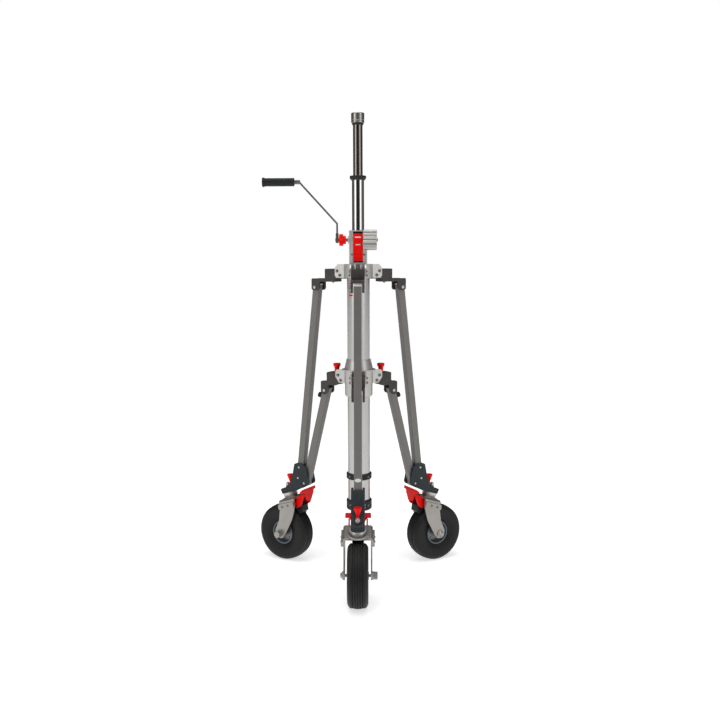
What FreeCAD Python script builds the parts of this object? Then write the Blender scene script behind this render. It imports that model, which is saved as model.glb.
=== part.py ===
import FreeCAD, Part
import math
import os
from FreeCAD import Vector

# Crank-up telescoping mast lift on three folding legs with large braked casters.
# Millimetres, +Z up, floor at z = 0. The origin is the middle of the footprint;
# the mast axis stands MAST_Y behind it. One leg points to -Y, two point back at 30 degrees.

# Mast
MAST_Y = 116.0
COLUMN_R = 49.0
COLUMN_WALL = 4.0
COLUMN_BOTTOM = 293.0
COLUMN_TOP = 1364.0
STAGE_TWO_R = 25.6
STAGE_TWO_WALL = 2.6
STAGE_TWO_BOTTOM = 510.0
STAGE_TWO_TOP = 1728.0
STAGE_THREE_R = 20.2
STAGE_THREE_WALL = 2.4
STAGE_THREE_BOTTOM = 540.0
STAGE_THREE_TOP = 1955.0
GLAND_R = 35.0
GLAND_BOTTOM = 1716.5
GLAND_TOP = 1735.0
HEAD_R = 27.7
HEAD_BOTTOM = 1945.0
HEAD_TOP = 1994.0
HEAD_BORE_R = 16.0
HEAD_BORE_DEPTH = 36.0
GAP = 0.3
FIT = 0.05

# Black rings round the lower column
STOP_RING = (55.5, 430.0, 457.0)
BOTTOM_RING = (55.5, 293.0, 340.0)
RING_SCREWS = (-137.0, -43.0, 90.0)
SCREW_R = 2.5

# Winch housing
HOUSING_HALF_X = 38.0
HOUSING_FRONT = -50.0
HOUSING_BACK = 40.0
HOUSING_TOP = 1506.0
HOUSING_WALL = 8.0
WINDOW_HALF_X = 20.5
WINDOW_BOTTOM = 1371.0
WINDOW_TOP = 1501.0
COVER_HALF_X = 19.3
COVER_BOTTOM = 1376.0
COVER_TOP = 1492.5
COVER_THICK = 6.0
COVER_SCREWS = (-25.0, 25.0)
WINCH_Y = -38.0
WINCH_Z = 1466.0
SHAFT_R = 7.0
DRUM_COVER = (23.0, 79.5)
DRUM_COVER_R = 43.0
DRUM_RIBS = 14
DRUM_RIB_R = 9.6

# Crank
HUB_X = (-94.0, -82.0)
HUB_HALF_Y = 9.0
HUB_Z = (-13.0, 29.0)
ARM_R = 4.0
ARM_X = -88.0
ARM_BEND_Z = 68.0
ARM_END = (-246.0, 241.0)
FERRULE_R = 9.0
FERRULE_END = -266.0
GRIP_END = -401.0
GRIP_R = 17.3
GRIP_FLANGE_R = 19.8
STAR_X = (-81.0, -62.0, -51.0)
STAR_R = 24.8
STAR_LOBES = 8

# Legs, in the plane of one leg: r outwards from the mast axis, z up, side across
AZIMUTHS = {"front": -90.0, "right": 30.0, "left": 150.0}
TUBE = 32.0
TUBE_WALL = 2.5
LEG_PIVOT = (208.0, 1263.0)
LEG_ANGLE = 6.6
LEG_BOTTOM_Z = 381.0
BRACE_TOP = (163.0, 810.0)
BRACE_BOTTOM = (276.0, 375.0)
PIN_R = 5.0
BOLT_R = 4.0
CHEEK_IN = 18.5
CHEEK_OUT = 28.0
EAR_OUT = 34.3
EAR_END = 98.0
SPREAD = 19.0
FOOT_BOLTS = ((302.6, 446.0), (308.4, 396.0))

# Fixed collar at the column's top and sliding collar below it
COLLAR_R = 62.0
COLLAR_Z = (1306.0, 1364.0)
COLLAR_BOLTS = ((86.0, 1335.0), (72.0, 1317.0))
SLIDER_Z = (794.0, 851.0, 909.0, 913.0, 956.0)
SLIDER_SLEEVE_R = 60.0
SLIDER_FLANGE_R = 73.0
SLIDER_NECK_R = 53.0
SLIDER_BOLTS = ((85.0, 884.0), (72.0, 862.0))
KNOB_AT = 111.0
BRACKET_TOP = 892.0

# Caster, in its own frame: x trailing direction, z along the swivel axis, tilted by SPREAD
WHEEL_AT = (394.0, 130.0)
TRAIL = 82.0
DROP = 160.0
TYRE_R = 130.0
TYRE_HALF = 42.0
RIM_R = 55.0
AXLE_R = 6.0
FORK_IN = 52.0
FORK_OUT = 58.0
CROWN_OUT = 60.0
PAD_OUT = 68.0
PLATE_LOW = 11.0
LEVER_STEP = 4.0
PLATE_HIGH = 35.0
BOSS_TOP = 42.0
RACE_LOW = -13.0
PEDAL_PIN = (-43.0, -58.0)


def outline(corners):
    """Closed wire in the XZ plane through (x, z, radius) corners, each rounded by its radius."""
    ends = []
    count = len(corners)
    for i in range(count):
        x, z, radius = corners[i]
        here = Vector(x, 0, z)
        if radius == 0:
            ends.append((here, here, None))
            continue
        before = corners[i - 1]
        after = corners[(i + 1) % count]
        back = (Vector(before[0], 0, before[1]) - here).normalize()
        ahead = (Vector(after[0], 0, after[1]) - here).normalize()
        half = back.getAngle(ahead) / 2
        reach = radius / math.tan(half)
        inward = (back + ahead).normalize()
        middle = here + inward * (radius / math.sin(half) - radius)
        ends.append((here + back * reach, here + ahead * reach, middle))
    edges = []
    for i in range(count):
        first, last, middle = ends[i]
        if middle is not None:
            edges.append(Part.Arc(first, middle, last).toShape())
        following = ends[(i + 1) % count][0]
        if last.distanceToPoint(following) > 1e-6:
            edges.append(Part.makeLine(last, following))
    return Part.Wire(edges)


def slab(corners, y_low, y_high):
    """A rounded outline in the XZ plane, extruded from y_low to y_high."""
    face = Part.Face(outline(corners))
    face.translate(Vector(0, y_low, 0))
    return face.extrude(Vector(0, y_high - y_low, 0))


def both_sides(corners, inner, outer):
    """The same plate on both sides of the XZ plane."""
    return [slab(corners, inner, outer), slab(corners, -outer, -inner)]


def box(x_low, x_high, y_low, y_high, z_low, z_high):
    corner = Vector(x_low, y_low, z_low)
    return Part.makeBox(x_high - x_low, y_high - y_low, z_high - z_low, corner)


def post(radius, z_low, z_high, x=0.0, y=0.0):
    """A vertical cylinder."""
    return Part.makeCylinder(radius, z_high - z_low, Vector(x, y, z_low))


def cross_bar(radius, x, z, y_low, y_high):
    """A cylinder along Y through (x, z)."""
    return Part.makeCylinder(radius, y_high - y_low, Vector(x, y_low, z), Vector(0, 1, 0))


def side_bar(radius, y, z, x_low, x_high):
    """A cylinder along X through (y, z)."""
    return Part.makeCylinder(radius, x_high - x_low, Vector(x_low, y, z), Vector(1, 0, 0))


def hexagon(radius, low, high, base, direction):
    """A hexagonal prism of corner radius `radius`, from low to high along a direction from base."""
    points = []
    for k in range(7):
        angle = math.radians(60 * k)
        points.append(Vector(radius * math.cos(angle), radius * math.sin(angle), low))
    prism = Part.Face(Part.makePolygon(points)).extrude(Vector(0, 0, high - low))
    prism.Placement = FreeCAD.Placement(base, FreeCAD.Rotation(Vector(0, 0, 1), direction))
    return prism


def turned(profile):
    """A solid of revolution about Z from a closed (radius, z) profile."""
    points = [Vector(r, 0, z) for r, z in profile]
    points.append(points[0])
    face = Part.Face(Part.makePolygon(points))
    return face.revolve(Vector(0, 0, 0), Vector(0, 0, 1), 360)


def rod(points, radius):
    """A round rod through points, with a ball in each bend."""
    shape = None
    for start, end in zip(points, points[1:]):
        piece = Part.makeCylinder(radius, start.distanceToPoint(end), start, end - start)
        shape = piece if shape is None else shape.fuse(piece)
    for point in points[1:-1]:
        shape = shape.fuse(Part.makeSphere(radius, point))
    return shape.removeSplitter()


def joined(pieces):
    shape = pieces[0].fuse(pieces[1:])
    return shape.removeSplitter()


def at_mast(shape):
    """Moves a shape from the mast's own frame to the part's frame."""
    moved = shape.copy()
    moved.translate(Vector(0, MAST_Y, 0))
    return moved


def at_leg(shape, azimuth):
    """Turns a shape from the leg plane (x is r, z is up) to its azimuth about the mast."""
    turned_shape = shape.copy()
    turned_shape.rotate(Vector(0, 0, 0), Vector(0, 0, 1), azimuth)
    return at_mast(turned_shape)


def swivel_centre():
    """Centre of the swivel bearing in the leg plane, so that the wheel just stands on the floor."""
    tilt = math.radians(SPREAD)
    r = WHEEL_AT[0] - TRAIL * math.cos(tilt) + DROP * math.sin(tilt)
    z = WHEEL_AT[1] + TRAIL * math.sin(tilt) + DROP * math.cos(tilt)
    return (r, z)


def at_caster(shape, azimuth):
    """Tilts a shape from the caster's frame into the leg plane, then turns it to its azimuth."""
    moved = shape.copy()
    moved.rotate(Vector(0, 0, 0), Vector(0, 1, 0), SPREAD)
    r, z = swivel_centre()
    moved.translate(Vector(r, 0, z))
    return at_leg(moved, azimuth)


def from_caster(x, z):
    """A point of the caster's frame, in leg plane coordinates."""
    tilt = math.radians(SPREAD)
    r, height = swivel_centre()
    return (r + x * math.cos(tilt) + z * math.sin(tilt), height - x * math.sin(tilt) + z * math.cos(tilt))


# ---------------------------------------------------------------- mast

def outer_column():
    tube = post(COLUMN_R, COLUMN_BOTTOM, COLUMN_TOP)
    return tube.cut(post(COLUMN_R - COLUMN_WALL, COLUMN_BOTTOM - 1, COLUMN_TOP + 1))


def stage_two_tube():
    tube = post(STAGE_TWO_R, STAGE_TWO_BOTTOM, STAGE_TWO_TOP)
    return tube.cut(post(STAGE_TWO_R - STAGE_TWO_WALL, STAGE_TWO_BOTTOM - 1, STAGE_TWO_TOP + 1))


def stage_two_gland():
    """Plastic gland on the second stage; the third stage slides through it."""
    profile = [(STAGE_TWO_R, GLAND_BOTTOM), (GLAND_R - 6, GLAND_BOTTOM), (GLAND_R, GLAND_BOTTOM + 8),
               (GLAND_R, GLAND_TOP - 2), (GLAND_R - 2, GLAND_TOP), (STAGE_THREE_R + GAP, GLAND_TOP),
               (STAGE_THREE_R + GAP, STAGE_TWO_TOP), (STAGE_TWO_R, STAGE_TWO_TOP)]
    return turned(profile)


def stage_three_tube():
    tube = post(STAGE_THREE_R, STAGE_THREE_BOTTOM, STAGE_THREE_TOP)
    return tube.cut(post(STAGE_THREE_R - STAGE_THREE_WALL, STAGE_THREE_BOTTOM - 1, STAGE_THREE_TOP + 1))


def head_socket():
    """Socket on top of the mast, open upwards for the post of whatever it carries."""
    floor = HEAD_TOP - HEAD_BORE_DEPTH
    profile = [(STAGE_THREE_R, HEAD_BOTTOM), (HEAD_R - 5, HEAD_BOTTOM), (HEAD_R - 3, HEAD_BOTTOM + 4),
               (HEAD_R - 3, HEAD_BOTTOM + 8), (HEAD_R, HEAD_BOTTOM + 8),
               (HEAD_R, HEAD_TOP - 2), (HEAD_R - 2, HEAD_TOP), (HEAD_BORE_R, HEAD_TOP),
               (HEAD_BORE_R, floor), (0, floor), (0, STAGE_THREE_TOP), (STAGE_THREE_R, STAGE_THREE_TOP)]
    return turned(profile)


def column_ring(size, bevel):
    radius, low, high = size
    profile = [(COLUMN_R, low), (radius - bevel, low), (radius, low + bevel),
               (radius, high - bevel), (radius - bevel, high), (COLUMN_R, high)]
    shape = turned(profile)
    for azimuth in RING_SCREWS:
        hole = side_bar(SCREW_R, 0, (low + high) / 2, COLUMN_R + 1, radius + 1)
        hole.rotate(Vector(0, 0, 0), Vector(0, 0, 1), azimuth)
        shape = shape.cut(hole)
    return shape


def stop_ring():
    return column_ring(STOP_RING, 3.0)


def bottom_ring():
    return column_ring(BOTTOM_RING, 5.0)


def collar_ears(corners, bolts):
    """The pair of ears that hold one leg's or brace's bracket, in the leg plane."""
    ears = joined(both_sides(corners, CHEEK_OUT + GAP, EAR_OUT))
    for r, z in bolts:
        ears = ears.cut(cross_bar(BOLT_R, r, z, -EAR_OUT - 1, EAR_OUT + 1))
    return ears


def leg_collar():
    """Cast collar clamped below the winch housing, with three pairs of ears."""
    low, high = COLLAR_Z
    corners = [(40, low, 0), (EAR_END - 7, low, 3), (EAR_END, low + 10, 3), (EAR_END, high - 16, 4),
               (EAR_END - 14, high, 4), (40, high, 0)]
    shape = post(COLLAR_R, low, high)
    for azimuth in AZIMUTHS.values():
        ears = collar_ears(corners, COLLAR_BOLTS)
        ears.rotate(Vector(0, 0, 0), Vector(0, 0, 1), azimuth)
        shape = shape.fuse(ears)
    shape = shape.cut(post(COLUMN_R, low - 1, high + 1))
    return shape.removeSplitter()


def leg_bracket():
    """Hinge bracket between the fixed collar's ears: a box, a step plate and two hanging cheeks."""
    r, z = LEG_PIVOT
    side = [(64, 1344, 3), (153, 1344, 3), (153, 1302, 0), (r + 15, 1302, 6), (r + 15, z - 13, 11),
            (183, z - 13, 11), (183, 1288, 0), (92, 1288, 4), (64, 1306, 3)]
    pieces = both_sides(side, CHEEK_IN, CHEEK_OUT)
    pieces.append(box(64, 153, -CHEEK_IN, CHEEK_IN, 1336, 1344))
    pieces.append(box(145, 153, -CHEEK_IN, CHEEK_IN, 1296, 1344))
    pieces.append(box(100, r + 12, -CHEEK_IN, CHEEK_IN, 1288, 1301))
    shape = joined(pieces)
    shape = shape.cut(cross_bar(PIN_R, r, z, -40, 40))
    shape = shape.cut(post(BOLT_R, 1280, 1310, 129.0))
    for bolt_r, bolt_z in COLLAR_BOLTS:
        shape = shape.cut(cross_bar(BOLT_R, bolt_r, bolt_z, -40, 40))
    return shape


def brace_bracket():
    """Hinge bracket between the sliding collar's ears, with two round-ended cheeks for the brace."""
    r, z = BRACE_TOP
    side = [(64, BRACKET_TOP, 3), (148, BRACKET_TOP, 3), (148, z + 45, 0), (r + 16, z + 42, 8),
            (r + 16, z - 17, 15), (r - 20, z - 17, 15), (r - 20, z + 26, 0), (104, z + 26, 4),
            (64, z + 40, 3)]
    pieces = both_sides(side, CHEEK_IN, CHEEK_OUT)
    pieces.append(box(64, 148, -CHEEK_IN, CHEEK_IN, BRACKET_TOP - 8, BRACKET_TOP))
    pieces.append(box(140, 148, -CHEEK_IN, CHEEK_IN, z + 28, BRACKET_TOP))
    shape = joined(pieces)
    shape = shape.cut(cross_bar(PIN_R, r, z, -40, 40))
    shape = shape.cut(post(PIN_R + FIT, BRACKET_TOP - 20, BRACKET_TOP + 5, KNOB_AT))
    for bolt_r, bolt_z in SLIDER_BOLTS:
        shape = shape.cut(cross_bar(BOLT_R, bolt_r, bolt_z, -40, 40))
    return shape


def through_bolt(radius, r, z, half):
    """A bolt across the leg plane: a shank, a hexagon head and a nut on plates `half` from it."""
    shank = cross_bar(radius, r, z, -half, half)
    head = hexagon(radius * 1.8, 0, radius * 1.2, Vector(r, -half, z), Vector(0, -1, 0))
    nut = hexagon(radius * 1.8, 0, radius * 1.2, Vector(r, half, z), Vector(0, 1, 0))
    return joined([shank, head, nut])


def hanging_bolt():
    """The vertical bolt under each leg bracket."""
    shank = post(BOLT_R, 1288, 1301, 129.0)
    head = hexagon(BOLT_R * 1.8, 0, 6, Vector(129.0, 0, 1288), Vector(0, 0, -1))
    tip = post(BOLT_R, 1275, 1288, 129.0)
    return joined([shank, head, tip])


def leg_bracket_bolts():
    """Bolts of the fixed collar: two through each pair of ears, one hanging, and the leg pivot."""
    bolts = []
    for azimuth in AZIMUTHS.values():
        for r, z in COLLAR_BOLTS:
            bolts.append(at_leg(through_bolt(BOLT_R, r, z, EAR_OUT), azimuth))
        bolts.append(at_leg(through_bolt(PIN_R, LEG_PIVOT[0], LEG_PIVOT[1], CHEEK_OUT), azimuth))
        bolts.append(at_leg(hanging_bolt(), azimuth))
    return bolts


def brace_bracket_bolts():
    """Bolts of the sliding collar: two through each pair of ears and the brace pivot."""
    bolts = []
    for azimuth in AZIMUTHS.values():
        for r, z in SLIDER_BOLTS:
            bolts.append(at_leg(through_bolt(BOLT_R, r, z, EAR_OUT), azimuth))
        bolts.append(at_leg(through_bolt(PIN_R, BRACE_TOP[0], BRACE_TOP[1], CHEEK_OUT), azimuth))
    return bolts


def sliding_collar():
    """Cast collar that slides on the column: chamfered sleeve, eared body, flange and conical neck."""
    sleeve, body, top, flange, neck = SLIDER_Z
    bore = COLUMN_R + GAP
    profile = [(bore, sleeve), (SLIDER_SLEEVE_R - 5, sleeve), (SLIDER_SLEEVE_R, sleeve + 6),
               (SLIDER_SLEEVE_R, body), (COLLAR_R, body), (COLLAR_R, top), (SLIDER_FLANGE_R, top),
               (SLIDER_FLANGE_R, flange), (COLLAR_R, flange), (SLIDER_NECK_R, neck), (bore, neck)]
    shape = turned(profile)
    corners = [(40, body, 0), (EAR_END - 18, body, 8), (EAR_END, body + 24, 12), (EAR_END, top, 12),
               (40, top, 0)]
    for azimuth in AZIMUTHS.values():
        ears = collar_ears(corners, SLIDER_BOLTS)
        ears.rotate(Vector(0, 0, 0), Vector(0, 0, 1), azimuth)
        shape = shape.fuse(ears)
    shape = shape.cut(post(bore, sleeve - 1, neck + 1))
    for azimuth in AZIMUTHS.values():
        relief = box(KNOB_AT - 48, SLIDER_FLANGE_R + 2, -18, 18, top - 1, flange + 1)
        relief.rotate(Vector(0, 0, 0), Vector(0, 0, 1), azimuth)
        shape = shape.cut(relief)
    return shape.removeSplitter()


# ---------------------------------------------------------------- winch

def housing():
    """Cast housing on the column's top: a hollow block with a front window and a seat for the drum."""
    shape = box(-HOUSING_HALF_X, HOUSING_HALF_X, HOUSING_FRONT, HOUSING_BACK, COLUMN_TOP, HOUSING_TOP)
    shape = shape.makeFillet(4.0, [edge for edge in shape.Edges if edge.BoundBox.ZLength > 100])
    wall = HOUSING_WALL
    cavity = box(-HOUSING_HALF_X + wall, HOUSING_HALF_X - wall, HOUSING_FRONT + wall, HOUSING_BACK - wall,
                 COLUMN_TOP + wall, HOUSING_TOP - wall)
    window = box(-WINDOW_HALF_X, WINDOW_HALF_X, HOUSING_FRONT - 1, HOUSING_FRONT + wall + 1,
                 WINDOW_BOTTOM, WINDOW_TOP)
    shape = shape.cut(cavity).cut(window)
    shape = shape.cut(post(STAGE_TWO_R + GAP, COLUMN_TOP - 1, HOUSING_TOP + 1))
    shape = shape.cut(side_bar(DRUM_COVER_R, WINCH_Y, WINCH_Z, DRUM_COVER[0], DRUM_COVER[1]))
    shape = shape.cut(side_bar(SHAFT_R + FIT, WINCH_Y, WINCH_Z, -HOUSING_HALF_X - 1, HOUSING_HALF_X + 1))
    for x in COVER_SCREWS:
        hole = Part.makeCylinder(SCREW_R, 10, Vector(x, HOUSING_FRONT - 1, 1405), Vector(0, 1, 0))
        shape = shape.cut(hole)
    return shape


def housing_cover():
    """Slim front cover with raised cross ribs, standing in the housing's window on two side rails."""
    front = HOUSING_FRONT - 2
    back = front + COVER_THICK
    shape = box(-COVER_HALF_X, COVER_HALF_X, front, back, COVER_BOTTOM, COVER_TOP)
    rails = [box(-WINDOW_HALF_X, -COVER_HALF_X, back - 3, back, COVER_BOTTOM, COVER_TOP),
             box(COVER_HALF_X, WINDOW_HALF_X, back - 3, back, COVER_BOTTOM, COVER_TOP)]
    ribs = []
    for z in (1423.0, 1440.0, 1465.0):
        ribs.append(box(-COVER_HALF_X + 3, COVER_HALF_X - 3, front - 0.8, front, z, z + 1.6))
    return joined([shape] + rails + ribs)


def drum_cover():
    """Cylindrical cover of the cable drum: rounded ribs all round, hollow, closed at the right end."""
    left, right = DRUM_COVER
    core = DRUM_COVER_R - DRUM_RIB_R
    shape = side_bar(core + 4, WINCH_Y, WINCH_Z, left, right)
    for k in range(DRUM_RIBS):
        angle = math.radians(360.0 * (k + 0.5) / DRUM_RIBS)
        y = WINCH_Y + core * math.cos(angle)
        z = WINCH_Z + core * math.sin(angle)
        shape = shape.fuse(side_bar(DRUM_RIB_R, y, z, left, right))
    shape = shape.cut(side_bar(core - 1, WINCH_Y, WINCH_Z, left + 4, right - 6))
    shape = shape.cut(side_bar(SHAFT_R + FIT, WINCH_Y, WINCH_Z, left - 1, right + 1))
    shape = shape.cut(post(STAGE_TWO_R + 2, WINCH_Z - 60, WINCH_Z + 60))
    return shape.removeSplitter()


def winch_shaft():
    """Shaft through housing and drum cover with the flanged cable drum on it."""
    left, right = DRUM_COVER
    spool_r = DRUM_COVER_R - DRUM_RIB_R - 3
    shape = side_bar(SHAFT_R, WINCH_Y, WINCH_Z, HUB_X[0] + 1, right + 4)
    shape = shape.fuse(side_bar(16.0, WINCH_Y, WINCH_Z, left + 6, right - 8))
    for x in (left + 6, right - 12):
        shape = shape.fuse(side_bar(spool_r, WINCH_Y, WINCH_Z, x, x + 4))
    return shape.removeSplitter()


def crank_arm():
    """Hub block on the shaft, bent rod arm and the ferrule that the grip turns against."""
    y = WINCH_Y
    block = box(HUB_X[0], HUB_X[1], y - HUB_HALF_Y, y + HUB_HALF_Y, WINCH_Z + HUB_Z[0], WINCH_Z + HUB_Z[1])
    block = block.makeFillet(2.0, block.Edges)
    points = [Vector(ARM_X, y, WINCH_Z + HUB_Z[1] - 4), Vector(ARM_X, y, WINCH_Z + ARM_BEND_Z),
              Vector(ARM_END[0], y, WINCH_Z + ARM_END[1]), Vector(GRIP_END + 4, y, WINCH_Z + ARM_END[1])]
    arm = rod(points, ARM_R)
    ferrule = side_bar(FERRULE_R, y, WINCH_Z + ARM_END[1], FERRULE_END, ARM_END[0] + 4)
    shape = joined([block, arm, ferrule])
    return shape.cut(side_bar(SHAFT_R, WINCH_Y, WINCH_Z, HUB_X[0] + 1, HUB_X[1] + 1))


def crank_grip():
    """Freely turning grip with a flange at its outer end."""
    z = WINCH_Z + ARM_END[1]
    inner = FERRULE_END - GAP
    body = side_bar(GRIP_R, WINCH_Y, z, GRIP_END, inner)
    body = body.makeFillet(4.0, body.Edges[:1])
    flange = side_bar(GRIP_FLANGE_R, WINCH_Y, z, GRIP_END, GRIP_END + 9)
    flange = flange.makeFillet(3.0, [edge for edge in flange.Edges if edge.Length > 100])
    shape = joined([body, flange])
    return shape.cut(side_bar(ARM_R + FIT, WINCH_Y, z, GRIP_END + 3, inner + 1))


def star_knob():
    """Two-tier star knob round the shaft, between the crank hub and the housing."""
    outer, step, inner = STAR_X
    shape = side_bar(STAR_R - 5, WINCH_Y, WINCH_Z, outer, step)
    for k in range(STAR_LOBES):
        angle = math.radians(360.0 * k / STAR_LOBES)
        y = WINCH_Y + (STAR_R - 6) * math.cos(angle)
        z = WINCH_Z + (STAR_R - 6) * math.sin(angle)
        shape = shape.fuse(side_bar(6.0, y, z, outer, step))
    shape = shape.fuse(side_bar(17.0, WINCH_Y, WINCH_Z, step, inner))
    return shape.cut(side_bar(SHAFT_R + FIT, WINCH_Y, WINCH_Z, outer - 1, inner + 1)).removeSplitter()


def pan_screw(base, direction):
    """A small screw: pan head standing on the surface at base, shank going in."""
    head = Part.makeCylinder(4.5, 3.0, base, direction)
    shank = Part.makeCylinder(SCREW_R, 5.0, base - direction * 5.0, direction)
    return joined([head, shank])


def pan_screws():
    """Screws beside the front cover and round the two black rings."""
    screws = []
    for x in COVER_SCREWS:
        screws.append(at_mast(pan_screw(Vector(x, HOUSING_FRONT, 1405), Vector(0, -1, 0))))
    for ring in (STOP_RING, BOTTOM_RING):
        z = (ring[1] + ring[2]) / 2
        for azimuth in RING_SCREWS:
            screw = pan_screw(Vector(ring[0], 0, z), Vector(1, 0, 0))
            screws.append(at_leg(screw, azimuth))
    return screws


# ---------------------------------------------------------------- legs and braces

def square_tube(above, below):
    """A hollow square tube hanging from the origin, `above` over it and `below` under it."""
    half = TUBE / 2
    shape = box(-half, half, -half, half, -below, above)
    shape = shape.makeFillet(3.0, [edge for edge in shape.Edges if edge.BoundBox.ZLength > TUBE + 1])
    inner = half - TUBE_WALL
    return shape.cut(box(-inner, inner, -inner, inner, -below - 1, above + 1))


def swung_out(shape, angle, pivot):
    """Swings a shape that hangs from the origin outwards by an angle and hangs it on a pivot."""
    moved = shape.copy()
    moved.rotate(Vector(0, 0, 0), Vector(0, 1, 0), -angle)
    moved.translate(Vector(pivot[0], 0, pivot[1]))
    return moved


def leg_tube():
    length = (LEG_PIVOT[1] - LEG_BOTTOM_Z) / math.cos(math.radians(LEG_ANGLE))
    shape = swung_out(square_tube(12.0, length), LEG_ANGLE, LEG_PIVOT)
    shape = shape.cut(cross_bar(PIN_R + FIT, LEG_PIVOT[0], LEG_PIVOT[1], -30, 30))
    for r, z in FOOT_BOLTS:
        shape = shape.cut(cross_bar(BOLT_R, r, z, -30, 30))
    return shape


def brace_angle():
    return math.degrees(math.atan2(BRACE_BOTTOM[0] - BRACE_TOP[0], BRACE_TOP[1] - BRACE_BOTTOM[1]))


def brace_length():
    return math.hypot(BRACE_BOTTOM[0] - BRACE_TOP[0], BRACE_TOP[1] - BRACE_BOTTOM[1])


def brace_tube():
    """Brace from the sliding collar to the foot bracket; its lower end is mitred past the leg tube."""
    length = brace_length()
    half = TUBE / 2
    shape = square_tube(12.0, length + 8.0)
    mitre = [(7.0, -length - 9, 0), (7.0, -length - 2, 0), (half + 1, -length + 46, 0),
             (half + 1, -length - 9, 0)]
    shape = shape.cut(slab(mitre, -half - 1, half + 1))
    shape = shape.cut(cross_bar(PIN_R + FIT, 0, 0, -30, 30))
    shape = shape.cut(cross_bar(PIN_R + FIT, 0, -length, -30, 30))
    return swung_out(shape, brace_angle(), BRACE_TOP)


def foot_bracket():
    """Cast foot: two cheeks that clamp the leg tube, an outer web and the tilted caster plate."""
    low_end = from_caster(25.0, PLATE_LOW)
    high_end = from_caster(27.0, PLATE_HIGH)
    heel = from_caster(-13.0, PLATE_HIGH)
    plate_in = from_caster(-37.0, PLATE_LOW)
    plate_in_top = from_caster(-37.0, PLATE_HIGH - 8)
    side = [(285, 462, 10), (264, 448, 14), (249, 380, 6), (253, 370, 4), (plate_in[0] - 26, plate_in[1] + 9, 0),
            (low_end[0], low_end[1], 3), (high_end[0], high_end[1], 3), (heel[0], heel[1], 5),
            (352, 366, 8), (336, 418, 20), (327, 461, 5)]
    pieces = both_sides(side, CHEEK_IN, CHEEK_OUT)
    web = [(319.4, 461, 0), (327, 461, 5), (336, 418, 20), (352, 366, 8), (heel[0], heel[1], 5),
           (high_end[0], high_end[1], 3), (low_end[0], low_end[1], 3), (plate_in[0], plate_in[1], 0),
           (plate_in_top[0], plate_in_top[1], 0), (329, 406, 10)]
    pieces.append(slab(web, -CHEEK_IN, CHEEK_IN))
    boss = post(12.0, PLATE_LOW + 5, BOSS_TOP)
    king = post(8.0, PLATE_LOW - 40, PLATE_HIGH + 40)
    r, z = swivel_centre()
    for shape in (boss, king):
        shape.rotate(Vector(0, 0, 0), Vector(0, 1, 0), SPREAD)
        shape.translate(Vector(r, 0, z))
    shape = joined(pieces + [boss]).cut(king)
    for r, z in FOOT_BOLTS:
        shape = shape.cut(cross_bar(BOLT_R, r, z, -40, 40))
    return shape.cut(cross_bar(PIN_R, BRACE_BOTTOM[0], BRACE_BOTTOM[1], -40, 40))


def brace_stub(side):
    """One of the two short bolts at the brace's lower end: head outside, shank in the cheek only."""
    r, z = BRACE_BOTTOM
    low, high = sorted((side * CHEEK_IN, side * CHEEK_OUT))
    shank = cross_bar(PIN_R, r, z, low, high)
    head = hexagon(PIN_R * 1.8, 0, 5.0, Vector(r, side * CHEEK_OUT, z), Vector(0, side, 0))
    return joined([shank, head])


def foot_bolts(azimuth):
    """Bolts of one foot: two through the leg tube and two stubs at the brace."""
    bolts = []
    for r, z in FOOT_BOLTS:
        bolts.append(at_leg(through_bolt(BOLT_R, r, z, CHEEK_OUT), azimuth))
    for side in (-1, 1):
        bolts.append(at_leg(brace_stub(side), azimuth))
    return bolts


def lock_lever():
    """Thumb lever: a hinge barrel and a stem that widens to a flat round top."""
    profile = [(0, 0), (5.2, 0), (5.2, 8), (14.5, 32), (16.3, 36), (16.3, 40), (14.8, 41.5), (0, 41.5)]
    thumb = turned(profile)
    thumb.translate(Vector(LEVER_STEP, 0, 0))
    shape = joined([thumb, cross_bar(5.0, 0, 0, -7, 7)])
    hinge = lever_hinge()
    shape.translate(Vector(hinge[0], 0, hinge[1]))
    return shape


def lever_hinge():
    return from_caster(-21.2, PLATE_HIGH + 12.7)


def pull_knob():
    """Mushroom knob on a spring plunger, standing on a brace bracket."""
    base = BRACKET_TOP + GAP
    profile = [(0, base - 26), (PIN_R, base - 26), (PIN_R, base), (11.5, base), (11, base + 14),
               (12, base + 23), (16.5, base + 30), (16.5, base + 37), (14.5, base + 40), (0, base + 40)]
    knob = turned(profile)
    knob.translate(Vector(KNOB_AT, 0, 0))
    return knob


# ---------------------------------------------------------------- casters

def swivel_bearing():
    """Upper race fixed under the foot plate, with the king bolt, its nut and its lower head."""
    head_top = RACE_LOW - 13.0
    profile = [(0, BOSS_TOP), (8, BOSS_TOP), (8, PLATE_LOW), (34, PLATE_LOW), (34, PLATE_LOW - 9),
               (29, RACE_LOW), (8, RACE_LOW), (8, head_top), (12, head_top), (12, head_top - 6),
               (0, head_top - 6)]
    race = turned(profile)
    nut = hexagon(10.5, 0, 11.0, Vector(0, 0, BOSS_TOP), Vector(0, 0, 1))
    tip = post(6.0, BOSS_TOP, BOSS_TOP + 15)
    return joined([race, nut, tip])


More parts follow.
